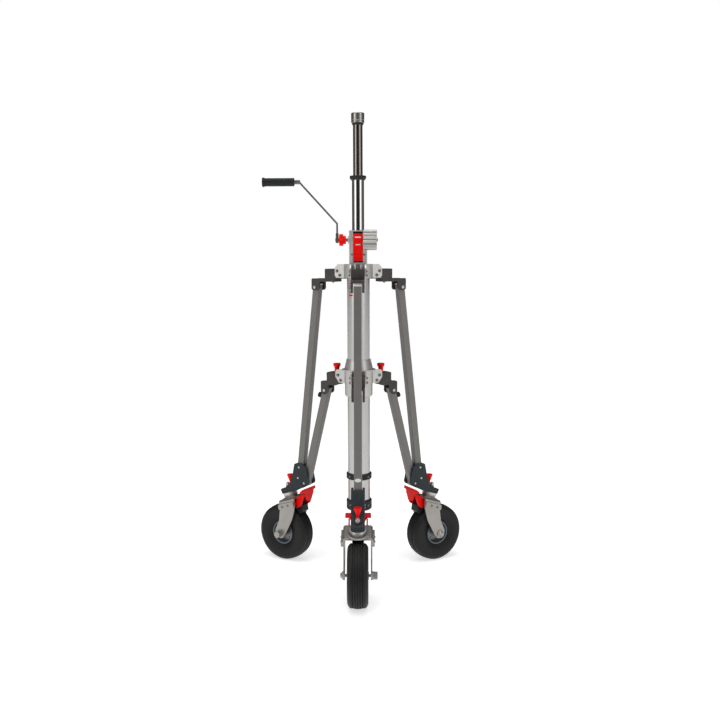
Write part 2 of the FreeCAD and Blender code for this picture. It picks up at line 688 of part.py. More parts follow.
def fork():
    """Pressed fork: chamfered crown with shoulders and thick pads, and two legs swept to the axle."""
    top = RACE_LOW - GAP
    crown_low = top - 12.0
    crown = box(-53, 33, -CROWN_OUT, CROWN_OUT, crown_low, top)
    long_edges = [edge for edge in crown.Edges if edge.BoundBox.XLength > 80 and edge.BoundBox.ZMax > top - 1]
    crown = crown.makeChamfer(7.0, long_edges)
    shoulder = [(-53, crown_low + 2, 0), (-50, -38, 0), (36, -36, 0), (33, crown_low + 2, 0)]
    pad = [(-50, -32, 3), (-44, -58, 6), (41, -53, 6), (36, -30, 3)]
    leg = [(-48, -36, 0), (-42, -60, 30), (-10, -112, 120), (53, -171, 60), (TRAIL - 6, -DROP - 25, 16),
           (TRAIL + 21, -DROP - 9, 18), (TRAIL + 17, -DROP + 21, 14), (63, -100, 60), (42, -56, 30),
           (34, -36, 0)]
    pieces = [crown] + both_sides(shoulder, FORK_IN, CROWN_OUT) + both_sides(pad, FORK_IN, PAD_OUT)
    shape = joined(pieces + both_sides(leg, FORK_IN, FORK_OUT))
    shape = shape.cut(post(8.0 + FIT, crown_low - 1, top + 1))
    return shape.cut(cross_bar(AXLE_R, TRAIL, -DROP, -80, 80))


def axle():
    """Axle bolt through the fork with a domed head on one side and a thick nut on the other."""
    shank = cross_bar(AXLE_R, TRAIL, -DROP, -FORK_OUT, FORK_OUT)
    washer = cross_bar(18.0, TRAIL, -DROP, -FORK_OUT - 4, -FORK_OUT)
    dome = Part.makeCone(14.0, 8.0, 9.0, Vector(TRAIL, -FORK_OUT - 4, -DROP), Vector(0, -1, 0))
    flange = cross_bar(17.0, TRAIL, -DROP, FORK_OUT, FORK_OUT + 4)
    nut = hexagon(16.0, 0, 17.0, Vector(TRAIL, FORK_OUT + 4, -DROP), Vector(0, 1, 0))
    return joined([shank, washer, dome, flange, nut])


def brake_body():
    """Brake block under the crown, just clear of the tyre, with the pedal's hinge pin through it."""
    crown_low = RACE_LOW - GAP - 12.0
    side = [(-19, crown_low, 0), (-41, crown_low, 0), (-44, -46, 6), (-60, -62, 6), (-56, -91, 6),
            (-35, -97, 4), (-23, -76, 6)]
    block = slab(side, -24, 24)
    pin = cross_bar(4.0, PEDAL_PIN[0], PEDAL_PIN[1], -40, 40)
    return joined([block, pin])


def brake_pedal():
    """Winged pedal: two cheeks on the hinge pin, a tapered end plate and a wing across its top."""
    side = [(-38, -36, 4), (-55, -30, 0), (-62, -17, 4), (-101, -14, 0), (-99, -20, 0), (-66, -62, 6),
            (-37, -68, 6)]
    face = slab([(-109, 8, 0), (-107, -3, 0), (-94, -50, 0), (-88, -48, 0), (-101, -3, 0), (-102, 5, 0)],
                -40, 40)
    corners = [(-40, 12), (40, 12), (40, -5), (12, -54), (-12, -54), (-40, -5), (-40, 12)]
    taper = Part.Face(Part.makePolygon([Vector(-115, y, z) for y, z in corners]))
    wing = [(-92, 1, 0), (-109, 8, 0), (-107, -6, 3), (-92, -9, 4)]
    pieces = both_sides(side, 34, 40)
    pieces.append(face.common(taper.extrude(Vector(30, 0, 0))))
    pieces.append(slab(wing, -53, 53))
    shape = joined(pieces)
    return shape.cut(cross_bar(4.0 + FIT, PEDAL_PIN[0], PEDAL_PIN[1], -60, 60))


def wheel_frame(shape):
    """Moves a shape of revolution about Z to the wheel's axle in the caster's frame."""
    moved = shape.copy()
    moved.rotate(Vector(0, 0, 0), Vector(1, 0, 0), 90)
    moved.translate(Vector(TRAIL, 0, -DROP))
    return moved


def tyre():
    """Pneumatic tyre: an open casing whose beads sit on the rim."""
    wall = 9.0
    half = TYRE_HALF
    outer = [(RIM_R, -26), (68, -35), (86, -41), (100, -half), (114, -40.5), (123, -35), (127.5, -28),
             (129.4, -16), (TYRE_R, 0)]
    mirrored = [(r, -z) for r, z in reversed(outer[:-1])]
    inner = [(RIM_R, 26 - wall), (66, half - wall - 6), (100, half - wall), (118, 26), (TYRE_R - wall, 0),
             (118, -26), (100, -half + wall), (66, -half + wall + 6), (RIM_R, -26 + wall)]
    return wheel_frame(turned(outer + mirrored + inner))


def rim():
    """Two-flanged rim with a dished web, round windows and a hub with the axle bore."""
    bore = AXLE_R + FIT
    profile = [(bore, -44), (15, -44), (15, -8), (42, -6), (45, -24), (49, -33), (54, -33), (RIM_R, -26),
               (RIM_R - 4, -17), (RIM_R - 4, 17), (RIM_R, 26), (54, 33), (49, 33), (45, 24), (42, 6),
               (15, 8), (15, 44), (bore, 44)]
    shape = turned(profile)
    for k in range(5):
        angle = math.radians(72.0 * k)
        shape = shape.cut(post(8.5, -20, 20, 28.0 * math.cos(angle), 28.0 * math.sin(angle)))
    return wheel_frame(shape)


# ---------------------------------------------------------------- output

def write(name, shapes):
    """One STEP file per node; a list becomes a group of separate solids."""
    if isinstance(shapes, list):
        shapes = Part.makeCompound(shapes)
    shapes.exportStep("parts/" + name + ".step")


def main():
    os.makedirs("parts", exist_ok=True)
    write("outer_column", at_mast(outer_column()))
    write("stage_two_tube", at_mast(stage_two_tube()))
    write("stage_two_gland", at_mast(stage_two_gland()))
    write("stage_three_tube", at_mast(stage_three_tube()))
    write("head_socket", at_mast(head_socket()))
    write("stop_ring", at_mast(stop_ring()))
    write("bottom_ring", at_mast(bottom_ring()))
    write("leg_collar", at_mast(leg_collar()))
    write("leg_brackets", [at_leg(leg_bracket(), azimuth) for azimuth in AZIMUTHS.values()])
    write("leg_bracket_bolts", leg_bracket_bolts())
    write("sliding_collar", at_mast(sliding_collar()))
    write("brace_brackets", [at_leg(brace_bracket(), azimuth) for azimuth in AZIMUTHS.values()])
    write("brace_bracket_bolts", brace_bracket_bolts())
    write("winch_housing", at_mast(housing()))
    write("housing_cover", at_mast(housing_cover()))
    write("drum_cover", at_mast(drum_cover()))
    write("winch_shaft", at_mast(winch_shaft()))
    write("crank_arm", at_mast(crank_arm()))
    write("crank_grip", at_mast(crank_grip()))
    write("star_knob", at_mast(star_knob()))
    write("pan_screws", pan_screws())
    for leg, azimuth in AZIMUTHS.items():
        write("leg_tube_" + leg, at_leg(leg_tube(), azimuth))
        write("foot_bracket_" + leg, at_leg(foot_bracket(), azimuth))
        write("foot_bolts_" + leg, foot_bolts(azimuth))
        write("lock_lever_" + leg, at_leg(lock_lever(), azimuth))
        write("brace_tube_" + leg, at_leg(brace_tube(), azimuth))
        write("pull_knob_" + leg, at_leg(pull_knob(), azimuth))
        write("swivel_bearing_" + leg, at_caster(swivel_bearing(), azimuth))
        write("fork_" + leg, at_caster(fork(), azimuth))
        write("axle_" + leg, at_caster(axle(), azimuth))
        write("brake_body_" + leg, at_caster(brake_body(), azimuth))
        write("brake_pedal_" + leg, at_caster(brake_pedal(), azimuth))
        write("tyre_" + leg, at_caster(tyre(), azimuth))
        write("rim_" + leg, at_caster(rim(), azimuth))


main()
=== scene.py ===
import math

import bmesh
import bpy
from mathutils import Matrix, Vector


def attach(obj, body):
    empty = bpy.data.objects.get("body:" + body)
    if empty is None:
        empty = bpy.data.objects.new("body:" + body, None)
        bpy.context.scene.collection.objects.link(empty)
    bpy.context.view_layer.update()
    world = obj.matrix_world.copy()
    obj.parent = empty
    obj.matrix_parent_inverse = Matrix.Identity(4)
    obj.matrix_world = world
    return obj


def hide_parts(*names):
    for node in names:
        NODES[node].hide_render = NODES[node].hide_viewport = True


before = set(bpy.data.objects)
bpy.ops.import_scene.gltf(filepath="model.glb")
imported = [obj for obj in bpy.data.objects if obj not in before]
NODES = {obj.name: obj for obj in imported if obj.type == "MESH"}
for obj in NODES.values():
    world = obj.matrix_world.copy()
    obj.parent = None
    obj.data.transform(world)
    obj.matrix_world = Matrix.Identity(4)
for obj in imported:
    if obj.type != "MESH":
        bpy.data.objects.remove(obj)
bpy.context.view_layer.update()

# Finishes and fine parts of a crank-up mast lift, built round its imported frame.
# Shapes are given in millimetres and placed in metres; +Z is up and one leg points to -Y.

MM = 0.001
SCENE = bpy.context.scene

# Places taken over from the part: mast axis, legs and casters
MAST_Y = 116.0
AZIMUTHS = {"front": -90.0, "right": 30.0, "left": 150.0}
SPREAD = 19.0
TRAIL = 82.0
DROP = 160.0
WHEEL_AT = (394.0, 130.0)
WINCH_Y = -38.0
WINCH_Z = 1466.0
EAR_OUT = 34.3
CHEEK_OUT = 28.0
LEG_PIVOT = (208.0, 1263.0)
LEG_ANGLE = 6.6
BRACE_TOP = (163.0, 810.0)
BRACE_BOTTOM = (276.0, 375.0)
COLLAR_BOLTS = ((86.0, 1335.0), (72.0, 1317.0))
SLIDER_BOLTS = ((85.0, 884.0), (72.0, 862.0))
FOOT_BOLTS = ((302.6, 446.0), (308.4, 396.0))
RING_SCREWS = (-137.0, -43.0, 90.0)
KNOB_AT = 111.0
BRACKET_TOP = 892.0
RING_RADIUS = 55.5
WINDOW_HALF = 20.4
COVER_LOW, COVER_HIGH = 1376, 1492.5
GRIP_RIBS, GRIP_PITCH = 30, 4.0


# ---- places

def shift(x, y, z):
    return Matrix.Translation(Vector((x, y, z)) * MM)


def turn(degrees, axis):
    return Matrix.Rotation(math.radians(degrees), 4, axis)


MAST = shift(0, MAST_Y, 0)
LEG = {leg: MAST @ turn(azimuth, "Z") for leg, azimuth in AZIMUTHS.items()}
TILT = math.radians(SPREAD)
SWIVEL_R = WHEEL_AT[0] - TRAIL * math.cos(TILT) + DROP * math.sin(TILT)
SWIVEL_Z = WHEEL_AT[1] + TRAIL * math.sin(TILT) + DROP * math.cos(TILT)
CASTER = {leg: LEG[leg] @ shift(SWIVEL_R, 0, SWIVEL_Z) @ turn(SPREAD, "Y") for leg in LEG}
WHEEL = {leg: CASTER[leg] @ shift(TRAIL, 0, -DROP) @ turn(90, "X") for leg in LEG}
WINCH = MAST @ shift(0, WINCH_Y, WINCH_Z) @ turn(90, "Y")


# ---- node helpers

def add_node(tree, kind, inputs=None, **settings):
    """A node with settings and input values; an input given as a socket is linked."""
    made = tree.nodes.new(kind)
    for name, value in settings.items():
        setattr(made, name, value)
    for name, value in (inputs or {}).items():
        if isinstance(value, bpy.types.NodeSocket):
            tree.links.new(value, made.inputs[name])
        else:
            made.inputs[name].default_value = value
    return made


def new_group(name, kind, inputs, outputs):
    """An empty node group with its named sockets; returns the tree and its two end nodes."""
    tree = bpy.data.node_groups.new(name, kind)
    for label, socket, value in inputs:
        made = tree.interface.new_socket(name=label, in_out="INPUT", socket_type="NodeSocket" + socket)
        if value is not None:
            made.default_value = value
    for label, socket in outputs:
        tree.interface.new_socket(name=label, in_out="OUTPUT", socket_type="NodeSocket" + socket)
    return tree, tree.nodes.new("NodeGroupInput"), tree.nodes.new("NodeGroupOutput")


def maths(tree, operation, first, second=0.0, third=0.0):
    """A math node's result; each operand is a number or a socket."""
    made = add_node(tree, "ShaderNodeMath", {0: first, 1: second, 2: third}, operation=operation)
    return made.outputs[0]


# ---- shared surface effects

def make_grain_group():
    """Two noises, one fine and one broad: a tone for colour and roughness, and a height."""
    tree, start, end = new_group("Surface Grain", "ShaderNodeTree",
                                 [("Vector", "Vector", None),
                                  ("Fine Scale", "Float", 400.0),
                                  ("Broad Scale", "Float", 12.0),
                                  ("Contrast", "Float", 1.0)],
                                 [("Tone", "Float"), ("Height", "Float")])
    fine = add_node(tree, "ShaderNodeTexNoise", {"Vector": start.outputs["Vector"],
                    "Scale": start.outputs["Fine Scale"], "Detail": 3.0, "Roughness": 0.6})
    broad = add_node(tree, "ShaderNodeTexNoise", {"Vector": start.outputs["Vector"],
                     "Scale": start.outputs["Broad Scale"], "Detail": 4.0, "Roughness": 0.55})
    both = maths(tree, "ADD", fine.outputs["Fac"], broad.outputs["Fac"])
    centred = maths(tree, "SUBTRACT", both, 1.0)
    tone = maths(tree, "MULTIPLY_ADD", centred, start.outputs["Contrast"], 0.5)
    clamped = maths(tree, "MINIMUM", maths(tree, "MAXIMUM", tone, 0.0), 1.0)
    tree.links.new(clamped, end.inputs["Tone"])
    tree.links.new(fine.outputs["Fac"], end.inputs["Height"])
    return tree


def make_wear_group():
    """Rubbed convex edges, broken up by noise."""
    tree, start, end = new_group("Edge Wear", "ShaderNodeTree",
                                 [("Vector", "Vector", None), ("Amount", "Float", 0.5)],
                                 [("Mask", "Float")])
    place = add_node(tree, "ShaderNodeNewGeometry")
    soft = add_node(tree, "ShaderNodeBevel", {"Radius": 0.0012}, samples=4)
    match = add_node(tree, "ShaderNodeVectorMath", {0: soft.outputs[0], 1: place.outputs["Normal"]},
                     operation="DOT_PRODUCT")
    edge = add_node(tree, "ShaderNodeMapRange", {"Value": match.outputs["Value"], "From Min": 0.995,
                    "From Max": 0.90})
    patches = add_node(tree, "ShaderNodeTexNoise", {"Vector": start.outputs["Vector"], "Scale": 60.0,
                       "Detail": 5.0, "Roughness": 0.7})
    broken = add_node(tree, "ShaderNodeMapRange", {"Value": patches.outputs["Fac"], "From Min": 0.42,
                      "From Max": 0.62})
    mask = maths(tree, "MULTIPLY", edge.outputs["Result"], broken.outputs["Result"])
    tree.links.new(maths(tree, "MULTIPLY", mask, start.outputs["Amount"]), end.inputs["Mask"])
    return tree


def make_dust_group():
    """Dust that settles on faces which look up."""
    tree, start, end = new_group("Settled Dust", "ShaderNodeTree",
                                 [("Vector", "Vector", None), ("Amount", "Float", 0.2)],
                                 [("Mask", "Float")])
    place = add_node(tree, "ShaderNodeNewGeometry")
    split = add_node(tree, "ShaderNodeSeparateXYZ", {0: place.outputs["Normal"]})
    upward = add_node(tree, "ShaderNodeMapRange", {"Value": split.outputs["Z"], "From Min": 0.3,
                      "From Max": 1.0})
    patches = add_node(tree, "ShaderNodeTexNoise", {"Vector": start.outputs["Vector"], "Scale": 35.0,
                       "Detail": 6.0, "Roughness": 0.7})
    mask = maths(tree, "MULTIPLY", upward.outputs["Result"], patches.outputs["Fac"])
    tree.links.new(maths(tree, "MULTIPLY", mask, start.outputs["Amount"]), end.inputs["Mask"])
    return tree


def make_scratch_group():
    """Fine straight scratches that run along one direction of the stretched coordinates."""
    tree, start, end = new_group("Brush Marks", "ShaderNodeTree",
                                 [("Vector", "Vector", None), ("Scale", "Float", 1.0)],
                                 [("Tone", "Float"), ("Height", "Float")])
    lines = add_node(tree, "ShaderNodeTexNoise", {"Vector": start.outputs["Vector"],
                     "Scale": start.outputs["Scale"], "Detail": 6.0, "Roughness": 0.75})
    spread = add_node(tree, "ShaderNodeMapRange", {"Value": lines.outputs["Fac"], "From Min": 0.35,
                      "From Max": 0.65})
    tree.links.new(spread.outputs["Result"], end.inputs["Tone"])
    tree.links.new(lines.outputs["Fac"], end.inputs["Height"])
    return tree


GRAIN = make_grain_group()
WEAR = make_wear_group()
DUST = make_dust_group()
BRUSH = make_scratch_group()
DUST_COLOUR = (0.42, 0.39, 0.35, 1.0)


def colour(values):
    return (values[0], values[1], values[2], 1.0)


def mixed(tree, factor, first, second):
    made = add_node(tree, "ShaderNodeMix", data_type="RGBA")
    for socket, value in ((made.inputs[0], factor), (made.inputs[6], first), (made.inputs[7], second)):
        if isinstance(value, bpy.types.NodeSocket):
            tree.links.new(value, socket)
        else:
            socket.default_value = value
    return made.outputs[2]


def surface(name, base, other, metallic, rough, fine=400.0, broad=12.0, contrast=1.0, stretch=(1, 1, 1),
            brushed=0.0, bump=0.1, depth=0.0002, worn=None, wear=0.0, dust=0.0, shine=0.25):
    """A finish: two tones by grain, rubbed edges, dust, roughness between two values and a fine bump."""
    made = bpy.data.materials.new(name)
    made.use_nodes = True
    tree = made.node_tree
    shader = tree.nodes["Principled BSDF"]
    shader.inputs["Metallic"].default_value = metallic
    shader.inputs["Specular IOR Level"].default_value = shine
    place = add_node(tree, "ShaderNodeTexCoord")
    mapped = add_node(tree, "ShaderNodeMapping", {"Vector": place.outputs["Object"], "Scale": stretch})
    vector = mapped.outputs["Vector"]
    if brushed:
        grain = add_node(tree, "ShaderNodeGroup", node_tree=BRUSH)
        grain.inputs["Scale"].default_value = brushed
    else:
        grain = add_node(tree, "ShaderNodeGroup", node_tree=GRAIN)
        grain.inputs["Fine Scale"].default_value = fine
        grain.inputs["Broad Scale"].default_value = broad
        grain.inputs["Contrast"].default_value = contrast
    tree.links.new(vector, grain.inputs["Vector"])
    shade = mixed(tree, grain.outputs["Tone"], colour(base), colour(other))
    low, high = rough
    roughness = maths(tree, "MULTIPLY_ADD", grain.outputs["Tone"], high - low, low)
    if wear:
        rubbed = add_node(tree, "ShaderNodeGroup", node_tree=WEAR)
        rubbed.inputs["Amount"].default_value = wear
        tree.links.new(place.outputs["Object"], rubbed.inputs["Vector"])
        shade = mixed(tree, rubbed.outputs["Mask"], shade, colour(worn))
    if dust:
        settled = add_node(tree, "ShaderNodeGroup", node_tree=DUST)
        settled.inputs["Amount"].default_value = dust
        tree.links.new(place.outputs["Object"], settled.inputs["Vector"])
        shade = mixed(tree, settled.outputs["Mask"], shade, DUST_COLOUR)
        roughness = maths(tree, "MULTIPLY_ADD", settled.outputs["Mask"], 0.4, roughness)
    tree.links.new(shade, shader.inputs["Base Color"])
    tree.links.new(roughness, shader.inputs["Roughness"])
    if bump:
        relief = add_node(tree, "ShaderNodeBump", {"Strength": bump, "Distance": depth,
                          "Height": grain.outputs["Height"]})
        tree.links.new(relief.outputs["Normal"], shader.inputs["Normal"])
    return made


BARE = (0.62, 0.61, 0.59)
FINISHES = {
    "satin_aluminium": surface("brushed aluminium column", (0.43, 0.425, 0.415), (0.51, 0.505, 0.49), 0.9,
                               (0.24, 0.36), stretch=(30, 30, 0.6), brushed=14.0, bump=0.02, dust=0.1),
    "bright_chrome": surface("bright chrome", (0.64, 0.63, 0.62), (0.72, 0.71, 0.70), 1.0, (0.05, 0.10),
                             stretch=(20, 20, 0.2), brushed=10.0, bump=0.0),
    "dark_chrome": surface("smoked chrome", (0.22, 0.20, 0.185), (0.30, 0.275, 0.25), 1.0, (0.12, 0.20),
                           stretch=(20, 20, 0.2), brushed=10.0, bump=0.0),
    "head_grey": surface("grey zinc socket", (0.28, 0.265, 0.25), (0.40, 0.38, 0.36), 0.95, (0.20, 0.32),
                         fine=260.0, broad=30.0, contrast=0.8, worn=BARE, wear=0.5, bump=0.08),
    "black_plastic": surface("black moulded plastic", (0.006, 0.006, 0.007), (0.018, 0.018, 0.020), 0.0,
                             (0.35, 0.55), fine=700.0, bump=0.12, dust=0.05),
    "cast_silver": surface("silver casting", (0.44, 0.43, 0.41), (0.60, 0.59, 0.565), 0.8, (0.30, 0.46),
                           fine=520.0, broad=18.0, contrast=0.9, bump=0.25, depth=0.0003,
                           worn=(0.85, 0.84, 0.82), wear=0.6, dust=0.12),
    "dark_bracket": surface("dark coated bracket", (0.040, 0.036, 0.034), (0.078, 0.071, 0.067), 0.35,
                            (0.38, 0.58), fine=480.0, broad=22.0, bump=0.2,
                            worn=(0.26, 0.245, 0.23), wear=0.5, dust=0.12),
    "zinc_steel": surface("zinc plated fastener", (0.46, 0.45, 0.43), (0.70, 0.69, 0.66), 0.95, (0.22, 0.42),
                          fine=900.0, broad=60.0, contrast=1.2, bump=0.1, worn=BARE, wear=0.4),
    "red_plastic": surface("red moulded plastic", (0.72, 0.0015, 0.001), (0.90, 0.004, 0.002), 0.0,
                           (0.30, 0.42), fine=600.0, broad=15.0, contrast=0.8, bump=0.05,
                           worn=(0.95, 0.10, 0.07), wear=0.35, shine=0.12),
    # dark_steel is real dark steel on fasteners, and painted shade on the rings inside the rim dishes
    "dark_steel": surface("dark oiled steel", (0.10, 0.095, 0.09), (0.22, 0.21, 0.20), 0.9, (0.25, 0.45),
                          fine=600.0, broad=40.0, contrast=1.2, bump=0.1, worn=BARE, wear=0.4),
    "black_rubber": surface("black grip rubber", (0.007, 0.008, 0.009), (0.020, 0.022, 0.026), 0.0,
                            (0.42, 0.62), fine=900.0, bump=0.2, dust=0.04),
    "grey_tube": surface("grey coated tube", (0.155, 0.148, 0.140), (0.200, 0.191, 0.181), 0.45, (0.34, 0.50),
                         fine=420.0, broad=7.0, contrast=0.4, bump=0.08, dust=0.08),
    "slate_cast": surface("slate coated casting", (0.018, 0.024, 0.027), (0.036, 0.045, 0.050), 0.2,
                          (0.45, 0.65), fine=650.0, broad=25.0, bump=0.3, depth=0.0003,
                          worn=(0.20, 0.22, 0.23), wear=0.5, dust=0.08),
    "fork_steel": surface("pressed zinc steel", (0.275, 0.258, 0.24), (0.40, 0.38, 0.355), 0.8, (0.30, 0.50),
                          fine=380.0, broad=16.0, contrast=1.2, bump=0.25, depth=0.0003,
                          worn=(0.62, 0.60, 0.57), wear=0.6, dust=0.12),
    "tyre_rubber": surface("tyre rubber", (0.006, 0.006, 0.0063), (0.015, 0.0145, 0.014), 0.0, (0.46, 0.66),
                           fine=800.0, broad=25.0, bump=0.2, depth=0.0003, dust=0.04),
    "rim_grey": surface("blue grey rim", (0.085, 0.105, 0.120), (0.150, 0.178, 0.200), 0.55, (0.32, 0.50),
                        fine=420.0, broad=30.0, bump=0.15,
                        worn=(0.36, 0.39, 0.41), wear=0.5, dust=0.08),
    # pale_plate is the real colour of the blank tabs and plates, and a painted highlight on the stop pin
    # bushes and the leg end caps
    "pale_plate": surface("pale blank plate", (0.62, 0.62, 0.60), (0.72, 0.72, 0.70), 0.2, (0.35, 0.5),
                          fine=700.0, bump=0.05),
    # painted shade: near black finish for the plate that darkens the window's recess and the gap round the
    # cover
    "painted_shade_black": surface("unlit inside", (0.004, 0.004, 0.004), (0.010, 0.010, 0.010), 0.0, (0.7, 0.9),
                           fine=300.0, bump=0.1),
}


# ---- mesh helpers

def shade_by_angle(mesh, degrees=32.0):
    mesh.polygons.foreach_set("use_smooth", [True] * len(mesh.polygons))
    mesh.set_sharp_from_angle(angle=math.radians(degrees))


def linked(name, data):
    made = bpy.data.objects.new(name, data)
    SCENE.collection.objects.link(made)
    return made


def as_piece(name, mesh, body, slot, finish=None, replaced=()):
    """Links a finished mesh as a piece that rides on a body."""
    mesh.name = name
    mesh.materials.clear()
    mesh.materials.append(FINISHES[finish or slot])
    piece = linked(name, mesh)
    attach(piece, body)
    if replaced:
        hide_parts(*replaced)
    return piece


def outward(mesh, merge=0.00001):
    """Merges doubles and turns every face outwards."""
    work = bmesh.new()
    work.from_mesh(mesh)
    bmesh.ops.remove_doubles(work, verts=work.verts, dist=merge)
    bmesh.ops.dissolve_degenerate(work, dist=merge / 2, edges=work.edges)
    bmesh.ops.recalc_face_normals(work, faces=work.faces)
    work.to_mesh(mesh)
    work.free()
    return mesh


def evaluated(host):
    """The plain mesh that an object's modifiers give; the object is removed."""
    bpy.context.view_layer.update()
    seen = host.evaluated_get(bpy.context.evaluated_depsgraph_get())
    mesh = bpy.data.meshes.new_from_object(seen)
    bpy.data.objects.remove(host)
    return mesh


def hosted(mesh):
    return linked("host", mesh)


def rounded(profile, radius, steps=3):
    """A profile with each inner corner rounded off."""
    points = [Vector(p) for p in profile]
    out = [points[0]]
    for before, here, after in zip(points, points[1:], points[2:]):
        back = before - here
        ahead = after - here
        reach = min(radius, back.length * 0.45, ahead.length * 0.45)
        first = here + back.normalized() * reach
        last = here + ahead.normalized() * reach
        for k in range(steps + 1):
            t = k / steps
            out.append(first * (1 - t) ** 2 + here * (2 * t * (1 - t)) + last * t ** 2)
    out.append(points[-1])
    return [tuple(p) for p in out]


def closed_work(work, name):
    """The mesh that bmesh work gives; the work is freed."""
    mesh = bpy.data.meshes.new(name)
    work.to_mesh(mesh)
    work.free()
    return mesh


def slab_mesh(corners, low, high, matrix):
    """A flat plate: (x, z) corners in mm in the plane, from low to high along y."""
    work = bmesh.new()
    face = work.faces.new([work.verts.new(Vector((x, low, z)) * MM) for x, z in corners])
    grown = bmesh.ops.extrude_face_region(work, geom=[face])
    moved = [v for v in grown["geom"] if isinstance(v, bmesh.types.BMVert)]
    bmesh.ops.translate(work, verts=moved, vec=Vector((0, high - low, 0)) * MM)
    bmesh.ops.recalc_face_normals(work, faces=work.faces)
    work.transform(matrix)
    return closed_work(work, "slab")


def plate(x_low, x_high, z_low, z_high, low, high, matrix):
    """A rectangular slab."""
    corners = [(x_low, z_low), (x_high, z_low), (x_high, z_high), (x_low, z_high)]
    return slab_mesh(corners, low, high, matrix)


def merged(meshes):
    """Several meshes as one, each still closed."""
    work = bmesh.new()
    for mesh in meshes:
        work.from_mesh(mesh)
        bpy.data.meshes.remove(mesh)
    return closed_work(work, "merged")


def softened(mesh, width, segments=2, angle=38.0):
    """Rounds every edge sharper than the angle by a small bevel."""
    host = hosted(mesh)
    bevel = host.modifiers.new("bevel", "BEVEL")
    bevel.width = width * MM
    bevel.segments = segments
    bevel.limit_method = "ANGLE"
    bevel.angle_limit = math.radians(angle)
    bevel.use_clamp_overlap = True
    host.modifiers.new("normals", "WEIGHTED_NORMAL").keep_sharp = True
    host.data.polygons.foreach_set("use_smooth", [True] * len(host.data.polygons))
    return evaluated(host)


def dressed(node, body, slot, width=0.8, finish=None, trims=()):
    """A copy of a CAD node, merged, with softened edges and trimmed corners; it stands for the node."""
    mesh = NODES[node].data.copy()
    if mesh.attributes.get("custom_normal"):
        mesh.attributes.remove(mesh.attributes["custom_normal"])
    work = bmesh.new()
    work.from_mesh(mesh)
    bmesh.ops.remove_doubles(work, verts=work.verts, dist=0.00001)
    bmesh.ops.dissolve_limit(work, angle_limit=math.radians(0.8), verts=work.verts, edges=work.edges)
    work.to_mesh(mesh)
    work.free()
    for trim in trims:
        mesh = cut_away(mesh, trim)
    return as_piece(node + "_body", softened(mesh, width), body, slot, finish, [node])


def cut_away(mesh, tool):
    """The first mesh less the second; both are used up."""
    host, knife = hosted(mesh), hosted(tool)
    cut = host.modifiers.new("cut", "BOOLEAN")
    cut.operation = "DIFFERENCE"
    cut.solver = "EXACT"
    cut.object = knife
    made = evaluated(host)
    bpy.data.objects.remove(knife)
    return made


def plain(node, slot):
    """A CAD node that stays as it is and takes its finish."""
    NODES[node].data.materials.clear()
    NODES[node].data.materials.append(FINISHES[slot])


# ---- turned pieces (Geometry Nodes)

def paint_result(tree, geometry, given, end):
    """Makes instances real, gives them the finish and sends them out as the piece."""
    real = add_node(tree, "GeometryNodeRealizeInstances", {"Geometry": geometry})
    painted = add_node(tree, "GeometryNodeSetMaterial", {"Geometry": real.outputs[0],
                       "Material": given["Finish"]})
    tree.links.new(painted.outputs[0], end.inputs["Piece"])
    return tree


def make_turning_tree():
    """Sweeps a profile round the axis. The profile's vertices hold (radius, share, height); the share
    says how far lobes cut into the radius there and how far a zigzag moves the height."""
    tree, start, end = new_group("Turned Piece", "GeometryNodeTree",
                                 [("Profile", "Geometry", None), ("Around", "Int", 48),
                                  ("Lobes", "Int", 0), ("Lobe Depth", "Float", 0.0),
                                  ("Lobe Power", "Float", 1.0), ("Zigzags", "Int", 0),
                                  ("Zigzag Reach", "Float", 0.0),
                                  ("Finish", "Material", None)],
                                 [("Piece", "Geometry")])
    given = start.outputs
    size = add_node(tree, "GeometryNodeAttributeDomainSize", {"Geometry": given["Profile"]})
    count = size.outputs["Point Count"]
    columns = maths(tree, "ADD", given["Around"], 1.0)
    grid = add_node(tree, "GeometryNodeMeshGrid", {"Vertices X": columns, "Vertices Y": count})
    index = add_node(tree, "GeometryNodeInputIndex").outputs[0]
    row = maths(tree, "MODULO", index, count)
    column = maths(tree, "FLOOR", maths(tree, "DIVIDE", maths(tree, "ADD", index, 0.1), count))
    where = add_node(tree, "GeometryNodeInputPosition").outputs[0]
    sample = add_node(tree, "GeometryNodeSampleIndex", {"Geometry": given["Profile"], "Index": row},
                      data_type="FLOAT_VECTOR")
    tree.links.new(where, sample.inputs["Value"])
    found = add_node(tree, "ShaderNodeSeparateXYZ", {0: sample.outputs[0]}).outputs
    share = maths(tree, "DIVIDE", column, given["Around"])
    angle = maths(tree, "MULTIPLY", share, 2 * math.pi)
    wave = maths(tree, "COSINE", maths(tree, "MULTIPLY", maths(tree, "MULTIPLY", angle, given["Lobes"]), 0.5))
    crest = maths(tree, "POWER", maths(tree, "ABSOLUTE", wave), given["Lobe Power"])
    cut = maths(tree, "MULTIPLY", maths(tree, "SUBTRACT", 1.0, crest), given["Lobe Depth"])
    radius = maths(tree, "SUBTRACT", found[0], maths(tree, "MULTIPLY", cut, found[1]))
    zigzag = maths(tree, "PINGPONG", maths(tree, "MULTIPLY", share, given["Zigzags"]), 0.5)
    sway = maths(tree, "MULTIPLY", maths(tree, "SUBTRACT", maths(tree, "MULTIPLY", zigzag, 4.0), 1.0),
                 given["Zigzag Reach"])
    height = maths(tree, "ADD", found[2], maths(tree, "MULTIPLY", sway, found[1]))
    across = maths(tree, "MULTIPLY", radius, maths(tree, "COSINE", angle))
    along = maths(tree, "MULTIPLY", radius, maths(tree, "SINE", angle))
    place = add_node(tree, "ShaderNodeCombineXYZ", {0: across, 1: along, 2: height})
    moved = add_node(tree, "GeometryNodeSetPosition", {"Geometry": grid.outputs["Mesh"],
                     "Position": place.outputs[0]})
    closed = add_node(tree, "GeometryNodeMergeByDistance", {"Geometry": moved.outputs[0],
                      "Distance": 0.000005})
    return paint_result(tree, closed.outputs[0], given, end)


